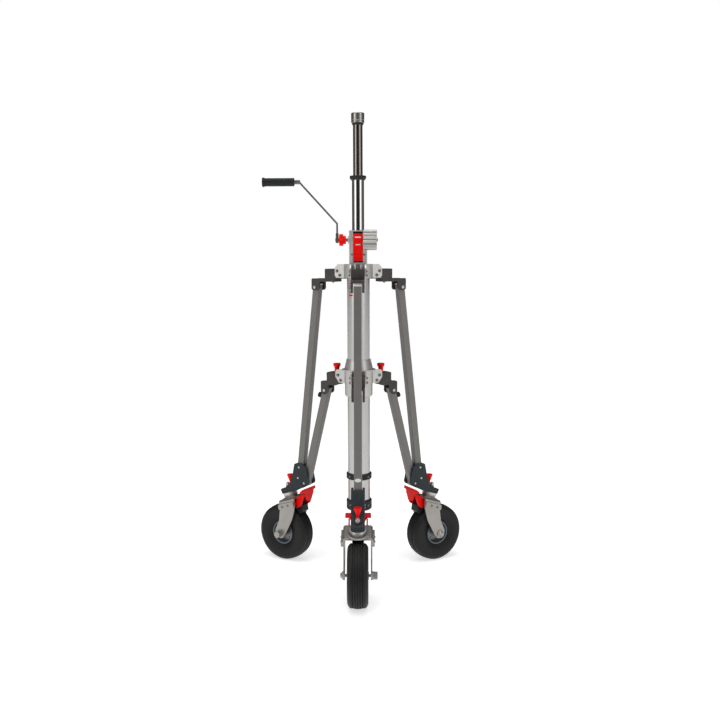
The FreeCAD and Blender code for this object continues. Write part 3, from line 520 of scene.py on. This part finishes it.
def make_setting_tree():
    """Puts one fastener on every vertex of a mesh, along its 'facing', each turned by a seeded angle."""
    tree, start, end = new_group("Set Out Fasteners", "GeometryNodeTree",
                                 [("Points", "Geometry", None),
                                  ("Fastener", "Object", None),
                                  ("Seed", "Int", 1), ("Finish", "Material", None)],
                                 [("Piece", "Geometry")])
    given = start.outputs
    item = add_node(tree, "GeometryNodeObjectInfo", {"Object": given["Fastener"]})
    facing = add_node(tree, "GeometryNodeInputNamedAttribute", {"Name": "facing"}, data_type="FLOAT_VECTOR")
    aimed = add_node(tree, "FunctionNodeAlignRotationToVector", {"Vector": facing.outputs[0]}, axis="Z")
    spun = add_node(tree, "FunctionNodeRandomValue", {"Seed": given["Seed"]}, data_type="FLOAT")
    spin = maths(tree, "MULTIPLY", spun.outputs[1], 2 * math.pi)
    about = add_node(tree, "ShaderNodeCombineXYZ", {2: spin})
    own = add_node(tree, "FunctionNodeEulerToRotation", {0: about.outputs[0]})
    both = add_node(tree, "FunctionNodeRotateRotation", {0: aimed.outputs[0], 1: own.outputs[0]},
                    rotation_space="LOCAL")
    placed = add_node(tree, "GeometryNodeInstanceOnPoints", {"Points": given["Points"],
                      "Instance": item.outputs["Geometry"], "Rotation": both.outputs[0]})
    return paint_result(tree, placed.outputs[0], given, end)


TURNING = make_turning_tree()
SETTING = make_setting_tree()


def run_tree(host, tree, values):
    """Runs a Geometry Nodes tree on an object with named input values and returns the plain mesh."""
    modifier = host.modifiers.new("build", "NODES")
    modifier.node_group = tree
    for item in tree.interface.items_tree:
        if item.item_type == "SOCKET" and item.in_out == "INPUT" and item.name in values:
            modifier[item.identifier] = values[item.name]
    return evaluated(host)


def turned_mesh(profile, matrix=Matrix(), around=48, lobes=0, depth=0.0, power=1.0, zigzags=0,
                reach=0.0, rounding=0.0, finish="zinc_steel"):
    """A mesh of revolution about Z from (radius, height) or (radius, height, share) points in mm."""
    full = [(p[0], p[1], p[2] if len(p) > 2 else 0.0) for p in profile]
    if rounding:
        full = rounded(full, rounding)
    line = bpy.data.meshes.new("profile")
    line.from_pydata([(r * MM, share, h * MM) for r, h, share in full], [], [])
    values = {"Around": around, "Lobes": lobes, "Lobe Depth": depth * MM, "Lobe Power": power,
              "Zigzags": zigzags, "Zigzag Reach": reach * MM, "Finish": FINISHES[finish]}
    mesh = outward(run_tree(hosted(line), TURNING, values))
    bpy.data.meshes.remove(line)
    mesh.transform(matrix)
    shade_by_angle(mesh)
    return mesh


def turned_piece(name, profile, matrix, body, slot, finish=None, replaced=(), **shape):
    mesh = turned_mesh(profile, matrix, finish=finish or slot, **shape)
    return as_piece(name, mesh, body, slot, finish, replaced)


def set_out(template, places, finish, seed=1):
    """Copies of a template mesh at (place, direction) pairs, as one mesh."""
    points = bpy.data.meshes.new("points")
    points.from_pydata([place for place, facing in places], [], [])
    facing = points.attributes.new("facing", "FLOAT_VECTOR", "POINT")
    facing.data.foreach_set("vector", [value for place, aim in places for value in aim])
    model = hosted(template)
    values = {"Fastener": model, "Seed": seed, "Finish": FINISHES[finish]}
    mesh = run_tree(hosted(points), SETTING, values)
    bpy.data.objects.remove(model)
    bpy.data.meshes.remove(points)
    shade_by_angle(mesh, 28.0)
    return mesh


# ---- fastener templates

def washer_mesh(radius):
    profile = [(0, 0.02), (radius * 1.75, 0.02), (radius * 1.75, 1.2), (radius * 1.6, 1.4), (0, 1.4)]
    return turned_mesh(profile, around=28)


def hex_bolt(radius, length):
    """Hexagon head with a chamfered top and a washer; the shank goes into the surface at z = 0."""
    head = turned_mesh([(0, 1.1), (radius * 1.5, 1.1), (radius * 1.5, 1.1 + radius * 0.7),
                        (radius * 1.25, 1.1 + radius * 0.9), (0, 1.1 + radius * 0.9)], around=6)
    washer = washer_mesh(radius)
    shank = turned_mesh([(0, -length), (radius * 0.98, -length), (radius * 0.98, 0.5), (0, 0.5)], around=20)
    return merged([head, washer, shank])


def nut_end(radius):
    """Nut with a washer, and the bolt's chamfered end standing out of it."""
    nut = turned_mesh([(0, 1.1), (radius * 1.3, 1.1), (radius * 1.5, 1.1 + radius * 0.2),
                       (radius * 1.5, 1.1 + radius * 0.7), (radius * 1.3, 1.1 + radius * 0.9),
                       (0, 1.1 + radius * 0.9)], around=6)
    washer = washer_mesh(radius)
    tip = turned_mesh([(0, 0.5), (radius * 0.9, 0.5), (radius * 0.9, 1.1 + radius * 1.15),
                       (radius * 0.7, 1.1 + radius * 1.35), (0, 1.1 + radius * 1.35)], around=18)
    return merged([nut, washer, tip])


def cross_screw(radius):
    """Pan head screw with two raised bars that cross on its head."""
    head = turned_mesh([(0, radius * 0.66), (radius * 0.55, radius * 0.62), (radius * 0.85, radius * 0.42),
                        (radius, 0.1), (radius, -0.3), (radius * 0.5, -0.3), (radius * 0.5, -radius),
                        (0, -radius)], around=28, rounding=0.3)
    bars = []
    for quarter in (0, 90):
        bars.append(plate(-radius * 0.5, radius * 0.5, radius * 0.55, radius * 0.70, -radius * 0.09,
                          radius * 0.09, turn(quarter, "Z")))
    return merged([head] + bars)


def button_head(radius):
    """Low domed head on a narrow collar, with a blind hexagon socket."""
    dome = turned_mesh([(radius * 0.45, radius * 0.45), (radius * 0.45, radius * 0.62),
                        (radius * 0.75, radius * 0.5), (radius, radius * 0.15), (radius, 0.02), (0, 0.02),
                        (0, radius * 0.2), (radius * 0.45, radius * 0.2), (radius * 0.45, radius * 0.45)],
                       around=24)
    collar = turned_mesh([(0, 0.01), (radius * 1.35, 0.01), (radius * 1.35, 0.5), (0, 0.5)], around=24)
    return merged([dome, collar])


def rivet(radius):
    return turned_mesh([(0, radius * 0.5), (radius * 0.6, radius * 0.42), (radius * 0.9, radius * 0.2),
                        (radius, 0.0), (radius * 0.9, -0.4), (0, -0.4)], around=20)


def spot(matrix, x, y, z):
    return tuple(matrix @ (Vector((x, y, z)) * MM))


def aimed_spot(matrix, place, facing):
    """A place and direction in world coordinates from those in a local frame."""
    return spot(matrix, *place), tuple(matrix.to_3x3() @ Vector(facing))


def on_leg(leg, r, z, side, facing):
    """An aimed spot in the leg's plane: side is across, facing is (r, side, z)."""
    return aimed_spot(LEG[leg], (r, side, z), facing)


def round_spot(radius, z, degrees):
    """A spot round the mast that faces outwards."""
    a = math.radians(degrees)
    return spot(MAST, radius * math.cos(a), radius * math.sin(a), z), (math.cos(a), math.sin(a), 0)


def bolt_pairs(legs, spots, half):
    """Head places on one side and nut places on the other, for bolts across the leg plane."""
    heads = [on_leg(leg, r, z, -half, (0, -1, 0)) for leg in legs for r, z in spots]
    nuts = [on_leg(leg, r, z, half, (0, 1, 0)) for leg in legs for r, z in spots]
    return heads, nuts


def through_bolts(radius, legs, spots, half, finish):
    heads, nuts = bolt_pairs(legs, spots, half)
    return merged([set_out(hex_bolt(radius, 2 * half), heads, finish, 3),
                   set_out(nut_end(radius), nuts, finish, 5)])


def button_pairs(legs, pivot, radius):
    """A domed head on each cheek at one pivot of every leg."""
    heads = [on_leg(leg, *pivot, side * CHEEK_OUT, (0, side, 0)) for leg in legs for side in (-1, 1)]
    return set_out(button_head(radius), heads, "zinc_steel", 6)


# ---- mast

def build_mast():
    for node, slot in (("outer_column", "satin_aluminium"), ("stage_two_tube", "bright_chrome"),
                       ("stage_three_tube", "dark_chrome"), ("winch_shaft", "dark_steel")):
        plain(node, slot)
    for node, low, high, bevel in (("stop_ring", 430, 457, 3), ("bottom_ring", 293, 340, 5)):
        middle = (low + high) / 2
        profile = [(49.0, low), (RING_RADIUS - bevel, low), (RING_RADIUS, low + bevel),
                   (RING_RADIUS, middle - 3), (54.9, middle - 2.4), (54.9, middle + 2.4),
                   (RING_RADIUS, middle + 3),
                   (RING_RADIUS, high - bevel), (RING_RADIUS - bevel, high), (49.0, high), (49.0, low)]
        turned_piece(node + "_band", profile, MAST, "mast_base", "black_plastic", replaced=[node], around=96,
                     rounding=1.2)
    gland = [(25.6, 1716.5), (29, 1716.5), (33.4, 1722), (35, 1725), (35, 1727), (34.2, 1727.6),
             (34.2, 1728.6), (35, 1729.2), (35, 1733), (33, 1735), (20.6, 1735), (20.6, 1728), (25.6, 1728),
             (25.6, 1716.5)]
    turned_piece("stage_two_gland_nut", gland, MAST, "stage_two", "black_plastic",
                 replaced=["stage_two_gland"], around=96, rounding=0.5)
    head = [(0, 1955), (20.2, 1955), (20.2, 1945), (22.7, 1945), (24.7, 1949), (24.7, 1953),
            (27.7, 1953.4), (27.7, 1961), (27.2, 1961.6), (27.2, 1963.4), (27.7, 1964), (27.7, 1992),
            (25.7, 1994), (16, 1994), (16, 1958), (0, 1958)]
    turned_piece("head_socket_cup", head, MAST, "stage_three", "head_grey", replaced=["head_socket"],
                 around=80, rounding=0.7)
    ring = [(20.3, 1944), (22.4, 1944), (24.9, 1948.9), (24.9, 1952.9), (24.4, 1953), (20.3, 1952)]
    turned_piece("head_socket_shadow_ring", ring + [ring[0]], MAST, "stage_three", "black_plastic", around=80,
                 rounding=0.3)
    spots = [round_spot(27.5, 1978, azimuth) for azimuth in (-100, 80)]
    as_piece("head_socket_set_screws", set_out(rivet(3.2), spots, "dark_steel"), "stage_three", "dark_steel")


def build_rings_screws():
    """Screws beside the front cover and round the two black rings, replacing the plain CAD ones."""
    spots = [(spot(MAST, x, -52.4, 1405.0), (0, -1, 0)) for x in (-25.8, 25.8)]
    spots += [round_spot(55.4, z, azimuth) for z in (443.5, 316.5) for azimuth in RING_SCREWS]
    mesh = set_out(cross_screw(4.5), spots, "dark_steel", 11)
    as_piece("cross_head_screws", mesh, "mast_base", "dark_steel", replaced=["pan_screws"])


def build_collars():
    for node in ("leg_collar", "winch_housing"):
        dressed(node, "mast_base", "cast_silver", 1.0)
    dressed("leg_brackets", "mast_base", "dark_bracket", 1.0,
            trims=[plate(56, 102, 1280, 1300.6, -40, 40, LEG[leg]) for leg in AZIMUTHS])
    dressed("sliding_collar", "sliding_collar", "cast_silver", 1.0)
    dressed("brace_brackets", "sliding_collar", "dark_bracket", 1.0)
    legs = list(AZIMUTHS)
    ears = through_bolts(4.0, legs, COLLAR_BOLTS, EAR_OUT, "dark_steel")
    as_piece("leg_collar_bolts", ears, "mast_base", "dark_steel", replaced=["leg_bracket_bolts"])
    pivots = button_pairs(legs, LEG_PIVOT, 4.6)
    hanging = [on_leg(leg, 129.0, 1288.0, 0, (0, 0, -1)) for leg in legs]
    pivots = merged([pivots, set_out(nut_end(4.0), hanging, "zinc_steel"),
                     set_out(hex_bolt(4.0, 8.0), [on_leg(leg, 129.0, 1301.0, 0, (0, 0, 1)) for leg in legs],
                             "zinc_steel")])
    as_piece("leg_pivot_bolts", pivots, "mast_base", "zinc_steel")
    ears = through_bolts(4.0, legs, SLIDER_BOLTS, EAR_OUT, "dark_steel")
    as_piece("sliding_collar_bolts", ears, "sliding_collar", "dark_steel", replaced=["brace_bracket_bolts"])
    as_piece("brace_pivot_bolts", button_pairs(legs, BRACE_TOP, 4.6), "sliding_collar", "zinc_steel")


def build_front_pin():
    """The dark stop pin between the housing and the front bracket, with a bush on each side whose pale finish
    is a painted highlight.
    """
    pin = turned_mesh([(0, 1344), (7.5, 1344), (7.5, 1349), (6, 1350), (6, 1361), (7.2, 1362), (7.2, 1364),
                       (0, 1364)], MAST @ shift(0, -70, 0), around=32, rounding=0.5)
    as_piece("front_stop_pin", pin, "mast_base", "dark_steel")
    sides = []
    for x in (-12.5, 12.5):
        sides.append(turned_mesh([(0, 1344.2), (4.6, 1344.2), (4.6, 1360), (3.6, 1362.5), (0, 1362.5)],
                                 MAST @ shift(x, -72, 0), around=24, rounding=0.5))
    # painted highlight: the bushes take the pale finish so they read as bright glints beside the pin
    as_piece("front_stop_bushes", merged(sides), "mast_base", "zinc_steel", "pale_plate")


# ---- winch

def build_cover():
    """Red front cover with side rails, plain raised bars and blank pale tabs."""
    plates = [softened(plate(-19.3, 19.3, COVER_LOW, COVER_HIGH, -52, -46.2, MAST), 1.6, 3),
              plate(-WINDOW_HALF, WINDOW_HALF, COVER_LOW, COVER_HIGH, -49, -46.1, MAST)]
    for z in (1396, 1414, 1422, 1430, 1438, 1450, 1464):
        plates.append(softened(plate(-16.5, 16.5, z, z + 2.4, -52.9, -51, MAST), 0.6, 2))
    as_piece("front_cover", merged(plates), "mast_base", "red_plastic", replaced=["housing_cover"])
    marks = []
    for extent in ((-12.5, 12.5, 1474.5, 1480.0), (-9.5, 9.5, 1444.0, 1448.0)):
        marks.append(softened(plate(*extent, -52.7, -51.5, MAST), 0.8, 3))
    as_piece("front_cover_blank_tabs", merged(marks), "mast_base", "red_plastic", "pale_plate")


def build_window_shade():
    """Painted shade: a dark plate that closes the window behind and round the cover, standing in for the
    shade in the recess and in the gap round the cover.
    """
    shade_plate = plate(-20.3, 20.3, 1371.3, 1500.7, -45.6, -43.0, MAST)
    as_piece("window_liner", shade_plate, "mast_base", "black_plastic", "painted_shade_black")


def build_housing_trim():
    """Raised edge beads on the housing's front and the round seat of the shaft."""
    beads = []
    for x in (-25.8, 25.8):
        beads.append(softened(plate(x - 4.4, x + 4.4, 1368, 1503, -52.4, -49.5, MAST), 1.3, 3))
    bezel = [(7.3, -37.8), (15, -37.8), (15, -41), (12.5, -43.5), (7.3, -43.5), (7.3, -37.8)]
    seat = turned_mesh(bezel, WINCH, around=48, rounding=0.7)
    as_piece("housing_beads", merged(beads + [seat]), "mast_base", "cast_silver")


def build_drum():
    """Ribbed drum cover: fourteen round ribs on a shell with a sunk ring in its end."""
    ribs = 14
    profile = [(7.2, 23.1, 0), (32, 23.1, 0), (43, 23.1, 1), (43, 28, 1), (43, 74, 1),
               (42.4, 78, 1), (40, 79.5, 0.9), (27, 79.5, 0), (26, 78.4, 0), (17, 78.4, 0),
               (16, 79.5, 0), (7.2, 79.5, 0), (7.2, 23.1, 0)]
    shell = turned_mesh(profile, WINCH @ turn(360 / ribs / 2 + 90, "Z"), around=ribs * 12, lobes=ribs,
                        depth=7.5, rounding=0.6, finish="cast_silver")
    mesh = cut_away(shell, turned_mesh([(0, 1400), (27.6, 1400), (27.6, 1540), (0, 1540)], MAST, around=72))
    shade_by_angle(mesh)
    as_piece("drum_cover_shell", mesh, "mast_base", "cast_silver", replaced=["drum_cover"])
    spots = [(spot(WINCH, 21.5 * math.cos(a), 21.5 * math.sin(a), 78.4), (1, 0, 0))
             for a in [math.radians(30 + 60 * k) for k in range(6)]]
    as_piece("drum_end_screws", set_out(cross_screw(2.4), spots, "dark_steel", 4), "mast_base", "dark_steel")


def build_crank():
    dressed("crank_arm", "crank", "zinc_steel", 0.7, "dark_steel")
    end = turned_mesh([(0, -96.2), (6.0, -96.2), (6.6, -95.6), (6.6, -94.1), (0, -94.1)], WINCH, around=28,
                      rounding=0.3)
    as_piece("crank_hub_bolt", end, "crank", "dark_steel")
    star = [(7.1, -80.7, 0), (12, -80.7, 0), (13.5, -79.7, 0), (19, -79.9, 0.3), (23.8, -79.2, 1),
            (24.8, -76, 1), (24.8, -66, 1), (23.8, -62.8, 1), (19, -62, 0.4), (17, -61.4, 0), (17, -53, 0),
            (15.6, -51.2, 0), (7.1, -51.2, 0), (7.1, -80.7, 0)]
    turned_piece("star_knob_lobes", star, WINCH @ turn(90, "Z"), "star_knob", "red_plastic",
                 replaced=["star_knob"], around=128, lobes=8, depth=6.2, power=1.6, rounding=0.8)
    grip_axis = MAST @ shift(0, WINCH_Y, WINCH_Z + 241) @ turn(90, "Y")
    profile = [(4.1, -266.4), (15.5, -266.4), (17.3, -268)]
    for k in range(GRIP_RIBS):
        x = -272.0 - GRIP_PITCH * k
        profile += [(17.3, x), (17.3, x - 2.6), (16.6, x - 3.0), (16.6, x - 3.6)]
    profile += [(17.3, -391.5), (19.8, -392.5), (19.8, -399), (18, -400.9), (9, -400.9), (8.6, -399.4),
                (0, -399.2), (0, -397.8), (4.1, -397.8), (4.1, -266.4)]
    turned_piece("crank_grip_sleeve", profile, grip_axis, "crank_grip", "black_rubber",
                 replaced=["crank_grip"], around=64, rounding=0.3)


# ---- legs

def build_leg(leg):
    leg_body, brace_body = "leg_" + leg, "brace_" + leg
    plain("leg_tube_" + leg, "grey_tube")
    plain("brace_tube_" + leg, "grey_tube")
    dressed("foot_bracket_" + leg, leg_body, "slate_cast", 1.2)
    dressed("lock_lever_" + leg, "lock_lever_" + leg, "red_plastic", 1.2)
    dressed("swivel_bearing_" + leg, leg_body, "cast_silver", 0.6)
    heads = [on_leg(leg, r, z, side * CHEEK_OUT, (0, side, 0))
             for side in (-1, 1) for r, z in FOOT_BOLTS + (BRACE_BOTTOM,)]
    mesh = set_out(button_head(3.1), heads, "zinc_steel", 2)
    as_piece("foot_bolt_heads_" + leg, mesh, leg_body, "zinc_steel", replaced=["foot_bolts_" + leg])
    top = BRACKET_TOP
    knob = [(0, top - 25.6), (4.95, top - 25.6), (4.95, top + 0.4), (11.5, top + 0.4), (11.5, top + 3),
            (10.6, top + 4), (10.8, top + 15), (12, top + 23), (15.6, top + 28.5), (16.5, top + 31, 1),
            (16.5, top + 37, 1), (14.6, top + 39.6), (9, top + 40.2), (0, top + 40.3)]
    turned_piece("pull_knob_cap_" + leg, knob, LEG[leg] @ shift(KNOB_AT, 0, 0), "pull_knob_" + leg,
                 "red_plastic", replaced=["pull_knob_" + leg], around=96, lobes=24, depth=0.7, rounding=0.8)
    build_bumper(leg, brace_body)
    # Pale cap on the tube's top end: its pale finish is a painted highlight for the bright strip under the
    # bracket.
    lean = LEG[leg] @ shift(LEG_PIVOT[0], 0, LEG_PIVOT[1]) @ turn(-LEG_ANGLE, "Y")
    corners = [(-15.6, 12.1), (15.6, 12.1), (15.6, 16.5), (13.6, 18), (-13.6, 18), (-15.6, 16.5)]
    cap = slab_mesh(corners, -15.6, 15.6, lean)
    as_piece("leg_end_cap_" + leg, softened(cap, 0.6, 2), leg_body, "zinc_steel", "pale_plate")


def build_bumper(leg, brace_body):
    """Black rubber bumper on the outer face of the brace, just below its top pin."""
    lean = math.degrees(math.atan2(BRACE_BOTTOM[0] - BRACE_TOP[0], BRACE_TOP[1] - BRACE_BOTTOM[1]))
    brace = LEG[leg] @ shift(BRACE_TOP[0], 0, BRACE_TOP[1]) @ turn(-lean, "Y")
    at = brace @ shift(16.0, 0, -34.0) @ turn(90, "Y")
    foot = [(0, 0.05), (12.5, 0.05), (12.5, 5.5), (9.5, 7.5), (9.5, 9.5), (12.0, 11.5), (12.0, 18.5),
            (10.5, 20.5), (4.5, 20.5), (3.5, 18.5), (0, 18.5)]
    turned_piece("brace_bumper_" + leg, foot, at, brace_body, "black_rubber", around=48, rounding=0.8)


def build_caster(leg):
    fork_body, wheel_body = "caster_fork_" + leg, "wheel_" + leg
    dressed("fork_" + leg, fork_body, "fork_steel", 1.0)
    dressed("axle_" + leg, fork_body, "fork_steel", 0.8)
    dressed("brake_body_" + leg, fork_body, "black_plastic", 1.0)
    dressed("brake_pedal_" + leg, "brake_pedal_" + leg, "red_plastic", 1.0)
    stamped = [(31, -15.5), (46, -15.5), (45, -12.6), (41, -11.4), (36, -12.2), (33, -13.2), (31, -15.5)]
    turned_piece("crown_race_" + leg, stamped, CASTER[leg], fork_body, "fork_steel", around=72, rounding=0.5)
    pads = [aimed_spot(CASTER[leg], (x, side * 68.0, -44.0), (0, side, 0))
            for x in (-16.0, 16.0) for side in (-1, 1)]
    as_piece("crown_rivets_" + leg, set_out(button_head(4.4), pads, "dark_steel", 8), fork_body, "dark_steel")
    build_tyre(leg, wheel_body)
    build_rim(leg, wheel_body)


def build_tyre(leg, wheel_body):
    """Ribbed tyre: zigzag grooves round the tread, raised bands on the sidewalls."""
    grooves = (-20.0, -10.0, 0.0, 10.0, 20.0)
    side = [(55, 26), (58, 29), (62, 32), (68, 35), (74, 37.4), (75, 38.6), (79, 39.8), (80, 39.4), (86, 41),
            (93, 41.9), (100, 42), (107, 41.6), (108, 41.9), (112, 41.0), (113, 40.2), (118, 38.2),
            (121.5, 35.8), (123.5, 34)]
    tread = []
    for groove in reversed(grooves):
        crown = 130.0 - 0.0072 * groove * groove
        tread += [(crown - 0.2, groove + 3.2, 0.6), (crown - 0.1, groove + 1.7, 1),
                  (crown - 3.4, groove + 1.1, 1), (crown - 3.4, groove - 1.1, 1),
                  (crown - 0.1, groove - 1.7, 1), (crown - 0.2, groove - 3.2, 0.6)]
    shoulder = [(125.4, 31.5), (126.8, 28.5), (127.1, 26)]
    outer = side + shoulder + tread + [(r, -h) for r, h in reversed(side + shoulder)]
    inner = [(57, -16), (66, -27), (100, -33), (118, -26), (121, 0), (118, 26), (100, 33), (66, 27), (57, 16),
             (55, 26)]
    turned_piece("tyre_tread_" + leg, outer + inner, WHEEL[leg], wheel_body, "tyre_rubber",
                 replaced=["tyre_" + leg], around=240, zigzags=72, reach=1.5)


def build_rim(leg, wheel_body):
    dressed("rim_" + leg, wheel_body, "rim_grey", 0.7)
    build_hub_shade(leg, wheel_body)
    wheel = WHEEL[leg]
    bolts = []
    for side in (-1, 1):
        for k in range(5):
            a = math.radians(36 + 72 * k)
            bolts.append(aimed_spot(wheel, (33 * math.cos(a), 33 * math.sin(a), side * 6.6), (0, 0, side)))
    mesh = set_out(hex_bolt(2.6, 4.0), bolts, "dark_steel", 7)
    as_piece("rim_bolts_" + leg, mesh, wheel_body, "dark_steel")
    stem = [(0, -2), (3.4, -2), (3.4, 5), (2.6, 7), (2.6, 13), (3.2, 13.4), (3.2, 18), (2.4, 18.8),
            (0, 18.8)]
    at = wheel @ turn(100, "Z") @ shift(47, 0, 18) @ turn(8, "Y")
    turned_piece("valve_stem_" + leg, stem, at, wheel_body, "black_rubber", around=24, rounding=0.3)


def build_hub_shade(leg, wheel_body):
    """Painted shade: a dark ring inside the rim's dish on both sides."""
    for side, name in ((-1, "far"), (1, "near")):
        dish = [(22, side * 7.4), (46, side * 7.4), (50.5, side * 13.0), (50.5, side * 12.2),
                (46.4, side * 6.6), (22, side * 6.6), (22, side * 7.4)]
        turned_piece("rim_dish_%s_%s" % (name, leg), dish, WHEEL[leg], wheel_body, "rim_grey", "dark_steel",
                     around=48)


def build_labels():
    """Blank plates: one oval on the front leg, one strip with two plain red bars on the column."""
    lean = LEG["front"] @ shift(LEG_PIVOT[0], 0, LEG_PIVOT[1]) @ turn(-LEG_ANGLE, "Y")
    oval = [(13.0 * math.cos(math.radians(k * 15)), 7.5 * math.sin(math.radians(k * 15))) for k in range(24)]
    at = lean @ shift(16.05, 0, -772.0) @ turn(90, "Z")
    mesh = slab_mesh(oval, -0.7, 0.2, at)
    as_piece("leg_blank_plate", softened(mesh, 0.25, 2), "leg_front", "zinc_steel", "pale_plate")
    bars = []
    for z, height in ((1280.0, 5.0), (1229.0, 7.0)):
        bars.append(curved_strip(-144, -118, z, z + height))
    as_piece("column_red_bars", merged(bars), "mast_base", "red_plastic")
    lines = [curved_strip(-144, -122, z, z + 2.2) for z in (1242, 1248, 1254, 1260, 1266, 1272)]
    as_piece("column_dark_bars", merged(lines), "mast_base", "dark_bracket")


def curved_strip(first, last, z_low, z_high):
    """A thin closed strip that lies on the column between two azimuths."""
    work = bmesh.new()
    rings = []
    steps = 10
    for k in range(steps + 1):
        a = math.radians(first + (last - first) * k / steps)
        rings.append([work.verts.new(Vector((r * math.cos(a), r * math.sin(a), z)) * MM)
                      for r, z in ((48.9, z_low), (49.35, z_low), (49.35, z_high), (48.9, z_high))])
    for here, after in zip(rings, rings[1:]):
        for k in range(4):
            work.faces.new([here[k], here[(k + 1) % 4], after[(k + 1) % 4], after[k]])
    work.faces.new(rings[0])
    work.faces.new(list(reversed(rings[-1])))
    bmesh.ops.recalc_face_normals(work, faces=work.faces)
    work.transform(MAST)
    return closed_work(work, "strip")


# ---- setting

def build_floor():
    mesh = bpy.data.meshes.new("floor")
    mesh.from_pydata([(-40, -30, -0.0005), (40, -30, -0.0005), (40, 60, -0.0005), (-40, 60, -0.0005)], [],
                     [(0, 1, 2, 3)])
    floor = linked("floor", mesh)
    finish = bpy.data.materials.new("pale floor")
    finish.use_nodes = True
    shader = finish.node_tree.nodes["Principled BSDF"]
    shader.inputs["Base Color"].default_value = (0.88, 0.88, 0.88, 1.0)
    shader.inputs["Roughness"].default_value = 0.8
    shader.inputs["Specular IOR Level"].default_value = 0.0
    shader.inputs["Emission Color"].default_value = (1.0, 1.0, 1.0, 1.0)
    shader.inputs["Emission Strength"].default_value = 0.60
    mesh.materials.append(finish)


def softbox(name, place, aim, width, height, power):
    light = bpy.data.lights.new(name, "AREA")
    light.shape = "RECTANGLE"
    light.size = width
    light.size_y = height
    light.energy = power
    lamp = linked(name, light)
    lamp.location = place
    lamp.rotation_euler = (Vector(aim) - Vector(place)).to_track_quat("-Z", "Y").to_euler()


def build_studio():
    """White surroundings, dark behind the viewer and dim behind the part as light; boxes and a sun."""
    world = bpy.data.worlds.new("studio")
    SCENE.world = world
    world.use_nodes = True
    tree = world.node_tree
    tree.nodes.clear()
    place = add_node(tree, "ShaderNodeTexCoord")
    ahead = add_node(tree, "ShaderNodeVectorMath", {0: place.outputs["Generated"], 1: (0, -1, 0)},
                     operation="DOT_PRODUCT")
    dim = add_node(tree, "ShaderNodeMapRange", {"Value": ahead.outputs["Value"], "From Min": 0.87,
                   "From Max": 0.94, "To Min": 1.0, "To Max": 0.03})
    behind = add_node(tree, "ShaderNodeMapRange", {"Value": ahead.outputs["Value"], "From Min": -0.1,
                      "From Max": 0.25, "To Min": 0.16, "To Max": 1.0})
    level = maths(tree, "MULTIPLY", dim.outputs["Result"], behind.outputs["Result"])
    seen = add_node(tree, "ShaderNodeLightPath")
    strength = maths(tree, "MAXIMUM", maths(tree, "MULTIPLY", level, 0.42),
                     maths(tree, "MULTIPLY", seen.outputs["Is Camera Ray"], 1.0))
    back = add_node(tree, "ShaderNodeBackground", {"Color": (1, 1, 1, 1), "Strength": strength})
    out = add_node(tree, "ShaderNodeOutputWorld")
    tree.links.new(back.outputs[0], out.inputs["Surface"])
    softbox("left box", (-3.6, -2.6, 2.4), (0, 0, 1.0), 1.6, 3.0, 30)
    softbox("right box", (3.6, -2.6, 2.4), (0, 0, 1.0), 1.6, 3.0, 22)
    softbox("top box", (0, -0.6, 4.6), (0, 0, 0.8), 3.0, 3.0, 40)
    overhead = bpy.data.lights.new("overhead", "SUN")
    overhead.energy = 0.8
    overhead.angle = math.radians(70.0)
    lamp = linked("overhead", overhead)
    lamp.rotation_euler = (math.radians(8.0), math.radians(-6.0), 0.0)


def build_camera():
    camera = bpy.data.cameras.new("viewer")
    camera.lens = 44.851
    camera.sensor_width = 36.0
    camera.shift_x = 0.00187
    viewer = linked("viewer", camera)
    heading = Matrix.Rotation(0.016, 4, "Z")
    pitch = Matrix.Rotation(math.radians(83.268), 4, "X")
    roll = Matrix.Rotation(-0.0039, 4, "Z")
    viewer.matrix_world = Matrix.Translation((0.0617, -3.739, 1.4065)) @ heading @ pitch @ roll
    SCENE.camera = viewer
    SCENE.view_settings.view_transform = "Standard"


build_mast()
build_rings_screws()
build_collars()
build_front_pin()
build_cover()
build_window_shade()
build_housing_trim()
build_drum()
build_crank()
for leg in AZIMUTHS:
    build_leg(leg)
    build_caster(leg)
build_labels()
build_floor()
build_studio()
build_camera()
